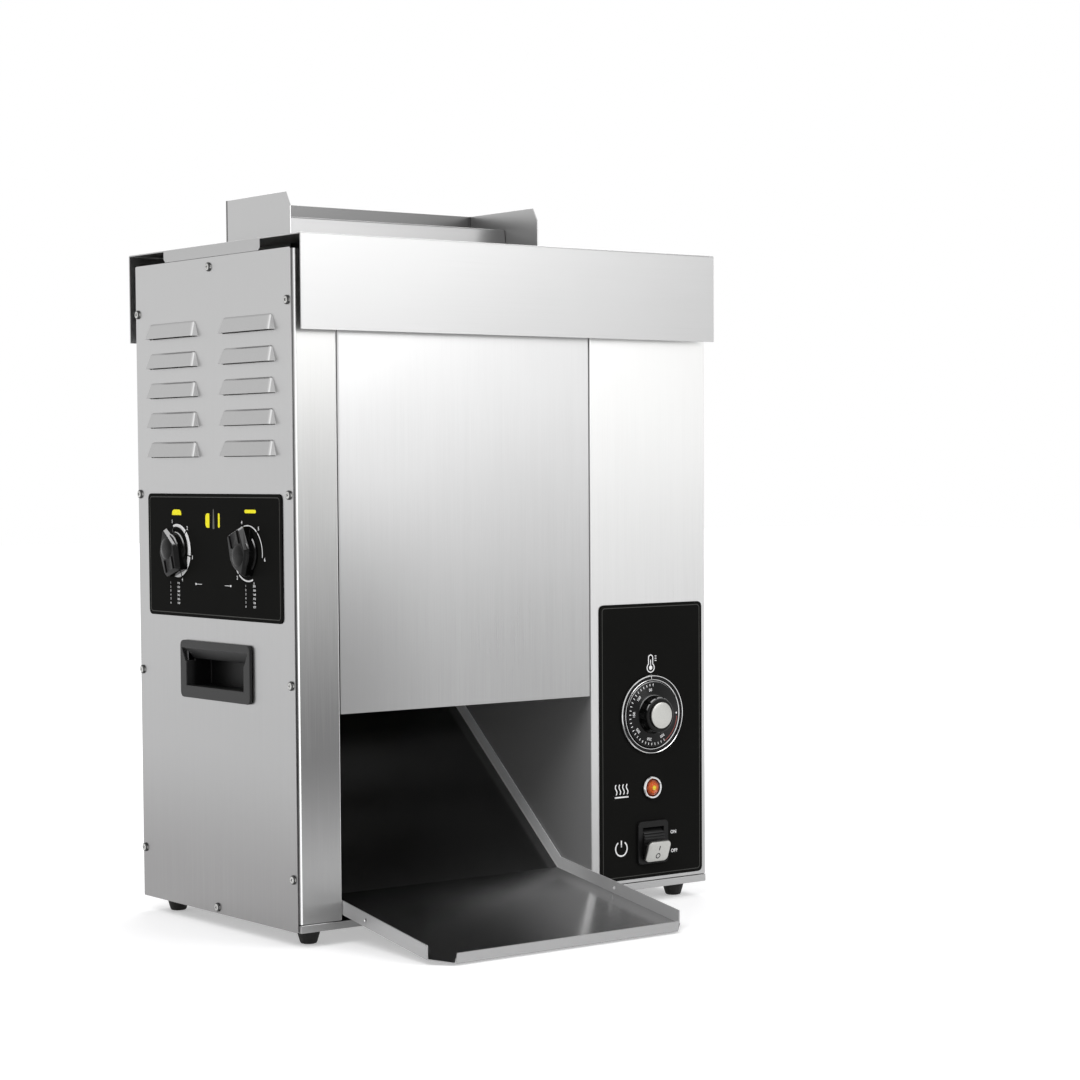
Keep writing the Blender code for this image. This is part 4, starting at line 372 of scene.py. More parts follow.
def turned(name, profile, around=96, ring=False):
    """A round piece raised ring by ring from (radius, height) pairs. A ring closes on its first pair."""
    bpy.ops.object.select_all(action="DESELECT")
    radius, height = profile[0]
    inside = "NOTHING" if ring else "NGON"
    bpy.ops.mesh.primitive_circle_add(vertices=around, radius=radius, fill_type=inside)
    piece = moved(named(name), 0.0, 0.0, height)
    for wider, higher in profile[1:] + (profile[:1] if ring else []):
        bpy.ops.mesh.extrude_region_move(TRANSFORM_OT_translate={"value": (0.0, 0.0, higher - height)})
        share = wider / radius
        bpy.ops.transform.resize(value=(share, share, 1.0), center_override=(0.0, 0.0, higher))
        radius, height = wider, higher
    return outward(piece)


def copied(piece, name):
    """A copy with its own mesh."""
    twin = piece.copy()
    twin.data = piece.data.copy()
    twin.name = twin.data.name = name
    bpy.context.collection.objects.link(twin)
    return twin


def settle(piece, place, side="top", turn=0.0):
    """A piece modelled in millimetres, face up, is turned to its side of the toaster and put there."""
    alone(piece)
    piece.matrix_world = (Matrix.Translation(at(*place)) @ sides[side]
                          @ Matrix.Rotation(math.radians(turn), 4, "Z") @ Matrix.Scale(0.001, 4))
    bpy.ops.object.transform_apply(location=True, rotation=True, scale=True)


def wear(piece, made, body):
    """Gives a piece its finish and the body it moves with."""
    piece.data.materials.clear()
    piece.data.materials.append(made)
    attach(piece, body)


rubber = grained("foot_rubber", "121212", "2a2928", (160.0, 4.0, 0.7), (0.6, 0.15), (0.2, 0.0002),
                 specular_ior_level=0.3)
foot = turned("foot", [(5.9, 0.0), (7.2, 0.4), (7.9, 1.5), (9.5, 7.0), (10.9, 12.0), (11.2, 12.5),
                       (11.2, 13.4), (10.8, 13.7)], 48)
smooth(foot)
for node in ("foot_front_left", "foot_front_right", "foot_rear_left", "foot_rear_right"):
    foot_low, foot_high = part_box(node)
    middle = ((foot_low + foot_high) / 2.0 - corner) * 1000.0
    piece = copied(foot, "rubber_" + node)
    settle(piece, (middle.x, middle.y, 0.0))
    wear(piece, rubber, "casing")
    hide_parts(node)
bpy.data.objects.remove(foot)


# Platen: two cast aluminium faces clamped over a frame, fixed between the two lanes. The pressure
# plates that push the belts towards it are of the same metal. The mould's sand shows as a grain.
cast, paint = finish("platen_aluminium")
sand = paint.noise(800.0, 3.0)
tint = paint.noise(12.0, 4.0, 0.6)
paint.surface(base_color=paint.mix(rgb("8a857c"), rgb("b3b0aa"), tint), metallic=1.0,
              roughness=sand * 0.12 + 0.4, normal=paint.bump(sand, 0.14, 0.0002))
for node in ("platen_frame", "platen_front_face", "platen_rear_face", "base_pressure_plate",
             "crown_pressure_plate"):
    dress(node, cast, 0.3)


# Heating element: a steel-sheathed tube bent to and fro and clamped between the platen's faces.
# Heat has browned its sheath.
heater = grained("heater_sheath", "3c302a", "6d5c50", (220.0, 4.0, 0.65), (0.42, 0.2), (0.12, 0.0001),
                 metallic=0.8)
dress("heating_element", heater, 0.0)


# Shafts: turned from steel bar. Four carry the belts on toothed wheels, two carry the snail cams
# that the knobs turn, and a stud carries the chain's idler. They run in bronze bushes pressed
# into the lanes' walls.
shaft_steel = grained("turned_steel", "86847f", "b0aea8", ((1400.0, 120.0, 120.0), 2.0), (0.24, 0.14),
                      (0.08, 0.0001), metallic=1.0)
for node in ("base_drive_shaft", "base_idler_shaft", "crown_drive_shaft", "crown_idler_shaft",
             "base_cam_shaft", "crown_cam_shaft", "idler_stud"):
    dress(node, shaft_steel, 0.0)
bronze = grained("bush_bronze", "7d5c34", "a9854f", (1600.0, 2.0), (0.34, 0.14), (0.1, 0.0001),
                 metallic=1.0)
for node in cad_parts:
    if "_bush_" in node:
        dress(node, bronze, 0.2)


# Rung belts: endless bands of stainless wire, one before and one behind the platen, laid over the
# shafts' toothed wheels. Toasting has soiled the wire a little.
wire = grained("belt_wire", "7c7973", "b9b7b1", (60.0, 4.0, 0.65), (0.2, 0.2), (0.06, 0.0001), metallic=1.0)
for node in ("base_belt", "crown_belt"):
    dress(node, wire, 0.0)


# Drive: an enamelled gear motor screwed to the pan, and an oiled steel chain that runs from its
# sprocket round both drive shafts and the idler.
enamel = grained("motor_enamel", "202224", "33363a", (500.0, 3.0), (0.42, 0.15), (0.2, 0.0003))
dress("gear_motor", enamel, 0.4)
oiled = grained("oiled_chain", "3a3733", "6e6a63", (260.0, 3.0), (0.24, 0.2), (0.1, 0.0001), metallic=1.0)
for node in ("drive_chain", "motor_sprocket", "chain_idler"):
    dress(node, oiled, 0.0)


# Casing: side and rear panels, the frame's two columns and the front cover, of stainless sheet
# folded on a press. Each side panel has two rows of pressed louvres, whose hoods slant at both
# ends, and the panels are screwed to the frames.
def hood_ends(paint):
    """The slanting ends of the louvres, which catch the light."""
    return abs(paint.facing("Y")).soft(0.15, 0.55) * abs(paint.facing("X")).soft(0.2, 0.6)


panel_sheet = stainless("panel_sheet", "z", "bebebe", "a8a8a8", "929191", spot=("e6e6e6", hood_ends),
                        shade_hoods=True)
for node in ("left_side_panel", "right_side_panel", "rear_panel"):
    dress(node, panel_sheet)

column_low, column_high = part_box("left_frame")
outer_fold, inner_fold, face_depth = 0.0013, 0.0011, 0.001


def bright_folds(paint):
    """The column's two front edges, which are rounded and shine."""
    across = paint.place("X")
    on_fold = (across < column_low.x + outer_fold) | (across > column_high.x - inner_fold)
    return on_fold & (paint.place("Y") < corner.y + face_depth)


dress("left_frame", stainless("left_column_sheet", "z", "c2c2c1", "6c6c6c", "a2a2a2",
                              spot=("fcfcfc", bright_folds)))
lane_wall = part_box("right_frame")[0].x + 0.0005
dress("right_frame", stainless("right_column_sheet", "z", "e2e2e1", "bcbcbc", "a8a8a8", dull=0.62,
                               spot=("a6a6a6", lambda paint: paint.place("X") < lane_wall)))


def low_corner(paint):
    """The cover's lower left, which the tray keeps from the light."""
    return ((1.0 - paint.place("X").soft(at(40.0, 0.0, 0.0).x, at(190.0, 0.0, 0.0).x))
            * (1.0 - paint.place("Z").soft(0.22, 0.44)) * 0.75)


dress("front_cover", stainless("cover_sheet", "z", "cccccc", "9a9a9a", "8c8c8c",
                               spot=("7c7c7c", low_corner)))


# Screws of the side and rear panels: pan heads 8.5 mm across with a cross recess, turned from
# stainless wire. One is modelled and copied to every place.
def finished(piece, modifier, **values):
    """Leaves edit mode and applies a modifier."""
    alone(piece)
    made = piece.modifiers.new(modifier.lower(), modifier)
    for key, value in values.items():
        setattr(made, key, value)
    bpy.ops.object.modifier_apply(modifier=made.name)


def worked(piece, tool, operation="UNION"):
    """Adds a second body to a piece, or cuts it out, and takes the second body away."""
    finished(piece, "BOOLEAN", object=tool, operation=operation, solver="EXACT")
    bpy.data.objects.remove(tool)


screw_steel, paint = finish("screw_steel")
swirl = paint.noise(900.0, 2.0)
# Painted light and shade on the heads: faces that look level get a painted highlight, and faces that tilt up
# or down get a dark painted shade.
painted_highlight = (abs(paint.facing("X")) | abs(paint.facing("Y"))).soft(0.90, 0.985) * (swirl * 0.3 + 0.8)
paint.surface(base_color=paint.mix(rgb("484848"), rgb("c6c6c4"), painted_highlight), metallic=1.0,
              roughness=swirl * 0.12 + 0.22, normal=paint.bump(swirl, 0.08, 0.0001))

recess_width, recess_reach, head_height = 0.9, 1.35, 2.0
screw = turned("screw", [(4.25, 0.0), (4.25, 0.9), (3.95, 1.5), (3.2, 1.95), (2.1, 2.2)], 32)
pick(screw, "FACE", lambda centre, normal: normal.z > 0.95 and centre.z > head_height)
bpy.ops.mesh.inset(thickness=0.5, depth=0.02)
bpy.ops.object.mode_set(mode="OBJECT")
bpy.ops.mesh.primitive_cube_add(size=recess_width, location=(0.0, 0.0, head_height))
recess = named("recess")
pick(recess, "FACE", lambda centre, normal: abs(normal.z) < 0.5)
bpy.ops.mesh.extrude_faces_move(TRANSFORM_OT_shrink_fatten={"value": recess_reach})
pick(recess, "VERT", lambda centre, normal: centre.z < 0.0)
bpy.ops.transform.resize(value=(0.6, 0.6, 1.0), center_override=(0.0, 0.0, head_height))
alone(recess)
bpy.ops.object.transform_apply(location=True, rotation=True, scale=True)
worked(screw, recess, "DIFFERENCE")
smooth(screw)

case_width, case_depth = 480.0, 284.0
side_places = [(145.4, 615.2), (143.4, 19.8)]
side_places += [(y, z) for y in (280.0, 10.0) for z in (577.8, 405.2, 235.4, 61.5)]
rear_places = [(x, z) for z in (40.0, 320.0, 530.0) for x in (12.0, 468.0)]
rear_places += [(240.0, 40.0), (240.0, 530.0)]
for side, panel, twist, places in (
        ("left", "left_side_panel", 23.0, [(0.0, y, z) for y, z in side_places]),
        ("right", "right_side_panel", 23.0, [(case_width, y, z) for y, z in side_places]),
        ("rear", "rear_panel", 31.0, [(x, case_depth, z) for x, z in rear_places])):
    for number, place in enumerate(places):
        head = copied(screw, f"{side}_screw_{number + 1}")
        settle(head, place, side, turn=twist * number)
        wear(head, screw_steel, "casing")
bpy.data.objects.remove(screw)


# Pull handles and the cord's gland: black plastic, injection moulded with a fine spark-eroded
# grain. The handles are cups that clip into the side panels, and the gland sits in the rear one.
def moulded(name, low, high, rough, shine, glint=None):
    """Black plastic. Its upper edges glint, where glint names the axis that the piece faces along."""
    made, paint = finish(name)
    pebble = paint.noise(1900.0, 3.0, 0.6)
    tone = paint.mix(rgb(low), rgb(high), pebble * 0.5 + paint.noise(24.0, 3.0) * 0.5)
    if glint:
        outwards = abs(paint.facing(glint))
        edge = outwards.soft(0.20, 0.45) * (1.0 - outwards.soft(0.70, 0.92))
        tone = paint.mix(tone, rgb("b8b8b8"), edge * paint.facing("Z").soft(0.2, 0.6))
    paint.surface(base_color=tone, roughness=pebble * 0.12 + (rough - 0.06), specular_ior_level=shine,
                  normal=paint.bump(pebble, 0.16, 0.0002))
    return made


cup_face = 0.2405
cup_black, paint = finish("cup_black")
# Painted shade: the further a face lies in from the side panels' faces, the darker it is painted, so the
# cups' hollows are nearly black.
painted_cup_shade = (cup_face - abs(paint.place("X") - at(case_width / 2.0, 0.0, 0.0).x)).soft(0.001, 0.009)
pebble = paint.noise(1900.0, 3.0, 0.6)
paint.surface(base_color=paint.mix(paint.mix(rgb("1f1f1f"), rgb("2c2c2c"), pebble), rgb("060606"), painted_cup_shade),
              roughness=pebble * 0.12 + 0.34, specular_ior_level=0.25,
              normal=paint.bump(pebble, 0.16, 0.0002))
for node in ("left_handle", "right_handle"):
    dress(node, cup_black, 0.8)
boot_black = moulded("boot_black", "0c0c0c", "181818", 0.36, 0.16)
dress("cord_gland", boot_black, 0.3)


# Control plates: screen-printed film on thin sheet, one on the left side round the two knobs and
# one on the control box. A line is pressed just inside the edge of each.
film, paint = finish("printed_film")
stipple = paint.noise(2600.0, 2.0)
paint.surface(base_color=paint.mix(rgb("151514"), rgb("1a1a19"), paint.noise(11.0, 2.0)),
              roughness=stipple * 0.1 + 0.4, specular_ior_level=0.005,
              normal=paint.bump(stipple, 0.06, 0.00006))
for node in ("side_control_plate", "front_control_plate"):
    dress(node, film, 0.15)

ink_thick, line_thick, line_width, line_rounding = 0.06, 0.08, 0.8, 3.2
print_face, fitting_face = 1.1, 1.4
plate_depth, plate_height = 142.5, 348.0
side_plate, front_plate = (-print_face, plate_depth, plate_height), (408.0, -print_face, 160.0)


def ink(name, low, high):
    """A flat printed colour."""
    return grained(name, low, high, (1300.0, 3.0), (0.45, 0.1), specular_ior_level=0.2)


def drawn(name, points, closed, **settings):
    """A curve through (across, up) points, made a mesh."""
    line = bpy.data.curves.new(name, "CURVE")
    for key, value in settings.items():
        setattr(line, key, value)
    spline = line.splines.new("POLY")
    spline.points.add(len(points) - 1)
    spline.use_cyclic_u = closed
    for point, (across, high) in zip(spline.points, points):
        point.co = (across, high, 0.0, 1.0)
    piece = bpy.data.objects.new(name, line)
    bpy.context.collection.objects.link(piece)
    alone(piece)
    bpy.ops.object.convert(target="MESH")
    return piece


def stroke(name, points, width, closed=False, thick=ink_thick):
    """A printed line of even width."""
    piece = drawn(name, points, closed, dimensions="3D", bevel_depth=width / 2.0, bevel_resolution=1,
                  use_fill_caps=True)
    pick(piece, "VERT")
    bpy.ops.transform.resize(value=(1.0, 1.0, 2.0 * thick / width), center_override=(0.0, 0.0, 0.0))
    return outward(piece)


def arc(radius, start, end, step=4.0, centre=(0.0, 0.0)):
    """Points on a circle, from one angle in degrees to another."""
    count = max(2, round(abs(end - start) / step))
    angles = [math.radians(start + (end - start) * i / count) for i in range(count + 1)]
    return [(centre[0] + radius * math.cos(a), centre[1] + radius * math.sin(a)) for a in angles]


def rounded(width, height, rounding):
    """A rectangle's outline with rounded corners."""
    points = []
    for turn, across, high in ((0.0, 1.0, 1.0), (90.0, -1.0, 1.0), (180.0, -1.0, -1.0), (270.0, 1.0, -1.0)):
        middle = (across * (width / 2.0 - rounding), high * (height / 2.0 - rounding))
        points += arc(rounding, turn, turn + 90.0, 15.0, middle)
    return points


line_ink = ink("line_ink", "363634", "42423f")
for name, width, height, place, side, node in (
        ("side_plate_line", 235.0, 109.5, side_plate, "left", "side_control_plate"),
        ("front_plate_line", 123.5, 263.5, front_plate, "front", "front_control_plate")):
    line = stroke(name, rounded(width, height, line_rounding), line_width, closed=True, thick=line_thick)
    settle(line, place, side)
    wear(line, line_ink, "casing")


# Scales of the side plate, in white: a crescent round the crown knob and an even line round the
# heel knob, each with its numbers from 1 to 6 at 60 degrees. The lists below them give what each
# number opens the lane to.
def patch(name, width, height, rounding, thick=ink_thick):
    """A flat rectangle about its centre, with rounded corners."""
    bpy.ops.object.select_all(action="DESELECT")
    bpy.ops.mesh.primitive_plane_add(size=1.0)
    piece = named(name)
    pick(piece, "VERT")
    bpy.ops.transform.resize(value=(width, height, 1.0), center_override=(0.0, 0.0, 0.0))
    bpy.ops.mesh.bevel(offset=rounding, segments=6, affect="VERTICES")
    bpy.ops.mesh.select_all(action="SELECT")
    bpy.ops.mesh.extrude_region_move(TRANSFORM_OT_translate={"value": (0.0, 0.0, thick)})
    return outward(piece)


def dot(name, radius):
    """A printed dot."""
    return turned(name, [(radius, 0.0), (radius, ink_thick)], 20)


def figures(name, text, size):
    """Printed figures about their middle."""
    bpy.ops.object.select_all(action="DESELECT")
    bpy.ops.object.text_add()
    piece = named(name)
    piece.data.body, piece.data.size, piece.data.extrude = text, size, ink_thick
    piece.data.align_x = piece.data.align_y = "CENTER"
    piece.data.resolution_u, piece.data.offset = 3, size * 0.012
    bpy.ops.object.convert(target="MESH")
    return piece


def shifted(piece, across, high, turn=0.0):
    """Puts a print in its place on the plate."""
    alone(piece)
    piece.matrix_world = (Matrix.Translation((across, high, 0.0))
                          @ Matrix.Rotation(math.radians(turn), 4, "Z"))
    bpy.ops.object.transform_apply(location=True, rotation=True, scale=True)
    return piece


def joined(name, pieces):
    """Makes one piece of several."""
    alone(pieces[0])
    for piece in pieces:
        piece.select_set(True)
    bpy.ops.object.join()
    return named(name)


knob_rise, number_step, number_size, scale_radius = 4.0, 60.0, 4.8, 25.2
crescent_width, crescent_swell, thickest_turn = 3.6, 2.2, 20.0
list_size, row_drop, opening_step, number_aside, opening_aside = 2.7, 3.78, 1.6, -13.3, 1.6
# Each knob's depth and the angle of its 1, then how far out its numbers stand, the height of its
# list, its widest opening and how far its list is moved aside.
knobs = {"crown": (208.5, 108.0), "base": (80.0, -70.0)}
lists = {"crown": (28.8, -26.8, 39.0, 0.0), "base": (29.6, -25.6, 20.0, 9.0)}


def spoke(radius, angle):
    """The point of a circle at an angle in degrees."""
    return radius * math.cos(math.radians(angle)), radius * math.sin(math.radians(angle))


def crescent(start, end, pieces=14):
    """Short strokes that swell and thin again on their way round the crown knob."""
    strokes = []
    for step in range(pieces):
        one = start + (end - start) * step / pieces
        two = start + (end - start) * (step + 1) / pieces
        width = crescent_width + crescent_swell * math.cos(math.radians((one + two) / 2.0 + thickest_turn))
        path = arc(scale_radius - width / 2.0, one + 0.2, two - 0.2, 2.0)
        strokes.append(stroke("crescent", path, width))
    return strokes


def heel_line(start, end, index):
    """One part of the even line, a little finer towards the 6."""
    return [stroke("heel_line", arc(scale_radius, start, end, 3.0), 1.7 - 0.16 * index)]


white_ink = ink("white_ink", "f2f2f2", "ffffff")
prints = []
for lane, (depth, first) in knobs.items():
    across = plate_depth - depth
    number_radius, list_top, widest, indent = lists[lane]
    for index in range(6):
        angle = first - number_step * index
        spot = spoke(number_radius, angle)
        number = figures("number", str(index + 1), number_size)
        prints.append(shifted(number, across + spot[0], knob_rise + spot[1]))
        if index < 5:
            start, end = angle - (2.0 if index else 0.5), angle - 58.0
            lines = crescent(start, end) if lane == "crown" else heel_line(start, end, index)
            prints += [shifted(line, across, knob_rise) for line in lines]
    for index in range(6):
        row = list_top - row_drop * index
        number = figures("list_number", str(index + 1), list_size)
        prints.append(shifted(number, across + number_aside + indent, row))
        opening = figures("list_value", f"{widest - opening_step * index:.1f}", list_size)
        prints.append(shifted(opening, across + opening_aside + indent, row))
rule_height = -26.6
for inner, outer in ((plate_depth - 163.2, plate_depth - 174.1), (plate_depth - 121.6, plate_depth - 110.8)):
    prints.append(stroke("rule", [(inner, rule_height), (outer, rule_height)], 0.5))
    prints.append(shifted(dot("rule_end", 1.05), outer, rule_height))
scale_print = joined("scale_print", prints)
settle(scale_print, side_plate, "left")
wear(scale_print, white_ink, "casing")


# Signs of the side plate, printed above the scales: a bun's domed crown, a half bun between the
# plates that press it, and a flat heel. They are yellow, and the plate beside the half bun grey.
def halved(piece, way):
    """Keeps the side of a flat piece that lies against way."""
    pick(piece, "FACE")
    bpy.ops.mesh.select_all(action="SELECT")
    bpy.ops.mesh.bisect(plane_co=(0.0, 0.0, 0.0), plane_no=way, use_fill=True, clear_outer=True)
    return outward(piece)


yellow_ink = ink("yellow_ink", "fbee10", "fff42a")
dome = shifted(halved(patch("dome", 17.6, 10.4, 4.4), (0.0, -1.0, 0.0)), plate_depth - 208.8, 37.7)
half_dome = shifted(halved(patch("half_dome", 14.4, 13.4, 3.6), (1.0, 0.0, 0.0)), plate_depth - 148.0, 33.1)
slim = shifted(patch("slim", 3.0, 13.2, 1.2), plate_depth - 130.8, 33.4)
heel = shifted(patch("heel", 19.6, 3.2, 1.5), plate_depth - 75.0, 42.2)
yellow_print = joined("yellow_print", [dome, half_dome, slim, heel])
settle(yellow_print, side_plate, "left")
wear(yellow_print, yellow_ink, "casing")

grey_ink = ink("grey_ink", "55554f", "64645e")
bar = patch("bar", 3.4, 18.6, 1.5)
pick(bar, "VERT", lambda centre, normal: centre.y > 0.0)
bpy.ops.transform.resize(value=(0.45, 1.0, 1.0), center_override=(0.0, 0.0, 0.0))
shifted(bar, plate_depth - 140.6, 34.6)
settle(bar, side_plate, "left")
wear(bar, grey_ink, "casing")


# Signs of the front plate, in white: a thermometer over the dial, heat over a bar by the lamp, and
# the power sign by the switch, whose two ends read ON and OFF.
glass_width, glass_low, glass_high, bulb_height = 2.7, -0.6, 5.6, -4.2
glass_top = arc(glass_width, 0.0, 180.0, 20.0, (0.0, glass_high))[1:-1]
glass_bulb = arc(4.5, 126.9, 413.1, 12.0, (0.0, bulb_height))[1:-1]
glass = stroke("glass", [(glass_width, glass_low), (glass_width, glass_high)] + glass_top
               + [(-glass_width, glass_high), (-glass_width, glass_low)] + glass_bulb, 1.1, closed=True)
signs = [glass, shifted(dot("bulb", 2.1), 0.0, bulb_height)]
signs.append(stroke("thread", [(0.0, -3.0), (0.0, 3.6)], 1.1))
signs += [stroke("mark", [(5.2, high), (7.3, high)], 0.9) for high in (7.0, 4.8, 2.6)]
thermometer = shifted(joined("thermometer", signs), -1.0, 76.0)

wave_swing, wave_turn, wave_height = 1.05, 6.28, 10
waves = []
for across in (-6.9, -2.3, 2.3, 6.9):
    path = [(across + wave_swing * math.sin(wave_turn * (step / wave_height)), step - 5.0)
            for step in range(wave_height + 1)]
    waves.append(stroke("wave", path, 1.25))
waves.append(stroke("hot_bar", [(-8.6, -7.6), (8.6, -7.6)], 1.5))
heat = shifted(joined("heat", waves), -38.4, -45.6)

ring = stroke("power_ring", arc(7.2, 124.0, 416.0, 8.0), 1.5)
power = shifted(joined("power", [ring, stroke("power_bar", [(0.0, 1.4), (0.0, 8.0)], 1.5)]), -39.0, -103.6)
on_end = shifted(figures("on_end", "ON", 4.8), 27.4, -92.6)
off_end = shifted(figures("off_end", "OFF", 4.8), 28.4, -111.4)
front_print = joined("front_print", [thermometer, heat, power, on_end, off_end])
settle(front_print, front_plate, "front")
wear(front_print, white_ink, "casing")


# Knobs of the two lanes: black moulded, a round skirt under a broad five-cornered grip that points
# with its nose. The grip has a round crown and two ribs along its tail, and is pressed on its shaft.
def flat(name, points, thick):
    """A plate cut to an outline of (across, up) points."""
    piece = drawn(name, points, True, dimensions="2D", fill_mode="BOTH", extrude=thick / 2.0)
    return outward(moved(piece, 0.0, 0.0, thick / 2.0))


def bevelled(piece, width, segments, angle):
    """Rounds the edges that are sharper than an angle in degrees."""
    finished(piece, "BEVEL", width=width, segments=segments, limit_method="ANGLE",
             angle_limit=math.radians(angle))


grip_black = moulded("grip_black", "060606", "0f0f0f", 0.18, 0.15, glint="X")
grip_height, grip_rise = 8.0, 3.4
outline = (arc(2.6, 180.0, 270.0, 15.0, (-11.4, -19.4)) + arc(2.6, 270.0, 360.0, 15.0, (11.4, -19.4))
           + arc(4.6, 0.0, 40.0, 8.0, (12.2, 1.0)) + arc(2.6, 40.0, 140.0, 12.0, (0.0, 19.2))
           + arc(4.6, 140.0, 180.0, 8.0, (-12.2, 1.0)))
grip = flat("grip", outline, grip_height)
pick(grip, "FACE", lambda centre, normal: normal.z > 0.9)
bpy.ops.mesh.extrude_region_move(TRANSFORM_OT_translate={"value": (0.0, 0.0, grip_rise)})
bpy.ops.transform.resize(value=(0.76, 0.90, 1.0), center_override=(0.0, -1.0, 0.0))
outward(grip)
crown_of_grip = turned("crown_of_grip", [(10.2, 10.0), (9.8, 11.7), (8.0, 12.5), (4.2, 13.0)], 48)
worked(grip, shifted(crown_of_grip, 0.0, 2.0))
for across in (-7.0, 7.0):
    worked(grip, moved(patch("rib", 1.8, 12.0, 0.8, 1.6), across, -13.4, 10.9))
skirt = turned("skirt", [(17.4, 0.0), (18.0, 0.5), (18.0, 1.8), (17.4, 2.8), (16.6, 3.0), (16.3, 8.2),
                         (15.6, 9.2), (14.6, 9.7)], 96)
worked(grip, skirt)
bevelled(grip, 0.55, 3, 28.0)
smooth(grip, 32.0)
for lane, (depth, first) in knobs.items():
    piece = copied(grip, lane + "_pointer_knob")
    settle(piece, (-fitting_face, depth, plate_height + knob_rise), "left", turn=first - 90.0)
    wear(piece, grip_black, lane + "_selector")
    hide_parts(lane + "_knob")
bpy.data.objects.remove(grip)


# Thermostat: a bright rolled ring fixed on the plate with a black trough and a second thin ring,
# and the black dial that turns in it under a plain silver cap. Its skirt is marked 50 to 300, and
# its enamelled body sits behind the plate.
fittings_across, dial_height = 407.0, 186.0
mark_face, skirt_face, cap_face = 2.2, 4.8, 16.2


def before_dial(ahead):
    """The dial's middle, so far in front of the casing."""
    return fittings_across, -ahead, dial_height


dress("thermostat_body", enamel, 0.3)
chrome = grained("chromed_ring", "c8c8c8", "dedede", (300.0, 3.0), (0.08, 0.06), (0.02, 0.0001),
                 metallic=1.0)
outer_ring = turned("outer_ring", [(37.5, 0.0), (39.0, 0.0), (39.0, 1.6), (38.7, 2.6), (38.1, 3.2),
                                   (37.6, 3.0), (37.3, 2.2)], 128, ring=True)
inner_ring = turned("inner_ring", [(33.5, 0.0), (34.5, 0.0), (34.6, 1.6), (34.3, 2.5), (33.9, 2.6),
                                   (33.5, 2.2)], 128, ring=True)
rings = joined("dial_rings", [outer_ring, inner_ring])
smooth(rings)
settle(rings, before_dial(fitting_face), "front")
wear(rings, chrome, "casing")
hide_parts("thermostat_bezel")

dial_black = moulded("dial_black", "060606", "0f0f0f", 0.18, 0.15, glint="Y")
trough = turned("dial_trough", [(34.4, 0.0), (37.6, 0.0), (37.6, 0.9), (36.0, 0.5), (34.4, 0.9)], ring=True)
smooth(trough)
settle(trough, before_dial(fitting_face), "front")
wear(trough, dial_black, "casing")
pointer = stroke("dial_index", [(0.0, 34.9), (0.0, 37.3)], 1.0)
settle(pointer, before_dial(mark_face), "front")
wear(pointer, white_ink, "casing")

dial = turned("dial", [(3.0, -14.4), (3.0, 0.3), (32.5, 0.3), (32.5, 2.3), (32.1, 3.0), (31.3, 3.4),
                       (20.2, 3.4), (19.2, 3.9), (18.8, 5.0), (17.5, 12.8), (17.0, 13.9),
                       (16.0, 14.5)], 120)
groove_count, groove_circle, groove_step = 12, 19.0, 30.0
for turn in range(groove_count):
    groove = turned("groove", [(2.3, 4.8), (2.1, 20.0)], 16)
    worked(dial, shifted(groove, *spoke(groove_circle, groove_step * turn + 15.0)), "DIFFERENCE")
smooth(dial, 28.0)
settle(dial, before_dial(fitting_face), "front")
wear(dial, dial_black, "thermostat")
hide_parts("thermostat_dial")

tick_count, first_tick, tick_step, tick_degrees = 27, 90.0, 8.0, 10
marks = []
for step in range(tick_count):
    angle = first_tick + tick_step * step
    marks.append(stroke("tick", [spoke(27.9, angle), spoke(30.3, angle)], 0.85))
    if step % 5 == 1:
        degrees = figures("degrees", str(40 + tick_degrees * step), 3.9)
        marks.append(shifted(degrees, *spoke(24.3, angle), angle - 90.0))
marks.append(shifted(dot("off_dot", 0.95), 29.6, 0.0))
dial_print = joined("dial_print", marks)
settle(dial_print, before_dial(skirt_face), "front")
wear(dial_print, white_ink, "thermostat")
red_ink = ink("red_ink", "9c4a44", "b05a52")
hot_line = stroke("hot_line", arc(30.4, -6.0, -62.0, 3.0), 0.7)
settle(hot_line, before_dial(skirt_face), "front")
wear(hot_line, red_ink, "thermostat")

silver = grained("silver_cap", "a6a6a3", "c4c4c0", (900.0, 3.0), (0.3, 0.1), (0.05, 0.0001), metallic=1.0)
dial_cap = turned("cap", [(12.4, 0.0), (13.0, 0.3), (13.0, 1.2), (12.7, 1.8), (11.9, 2.1), (6.0, 2.2)], 96)
smooth(dial_cap)
settle(dial_cap, before_dial(cap_face), "front")
wear(dial_cap, silver, "thermostat")
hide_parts("thermostat_cap")


# Pilot lamp: a turned chrome bezel and an amber acrylic lens pressed into it, moulded inside
# with rings of small facets that spread the light.
lamp_place = (fittings_across, -fitting_face, 113.8)
lamp_ring = turned("lamp_ring", [(8.6, 0.0), (11.5, 0.0), (11.5, 1.5), (11.1, 2.6), (10.3, 3.4), (9.5, 3.5),
                                 (8.8, 2.9)], 96, ring=True)
smooth(lamp_ring)
settle(lamp_ring, lamp_place, "front")
wear(lamp_ring, chrome, "casing")
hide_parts("lamp_bezel")

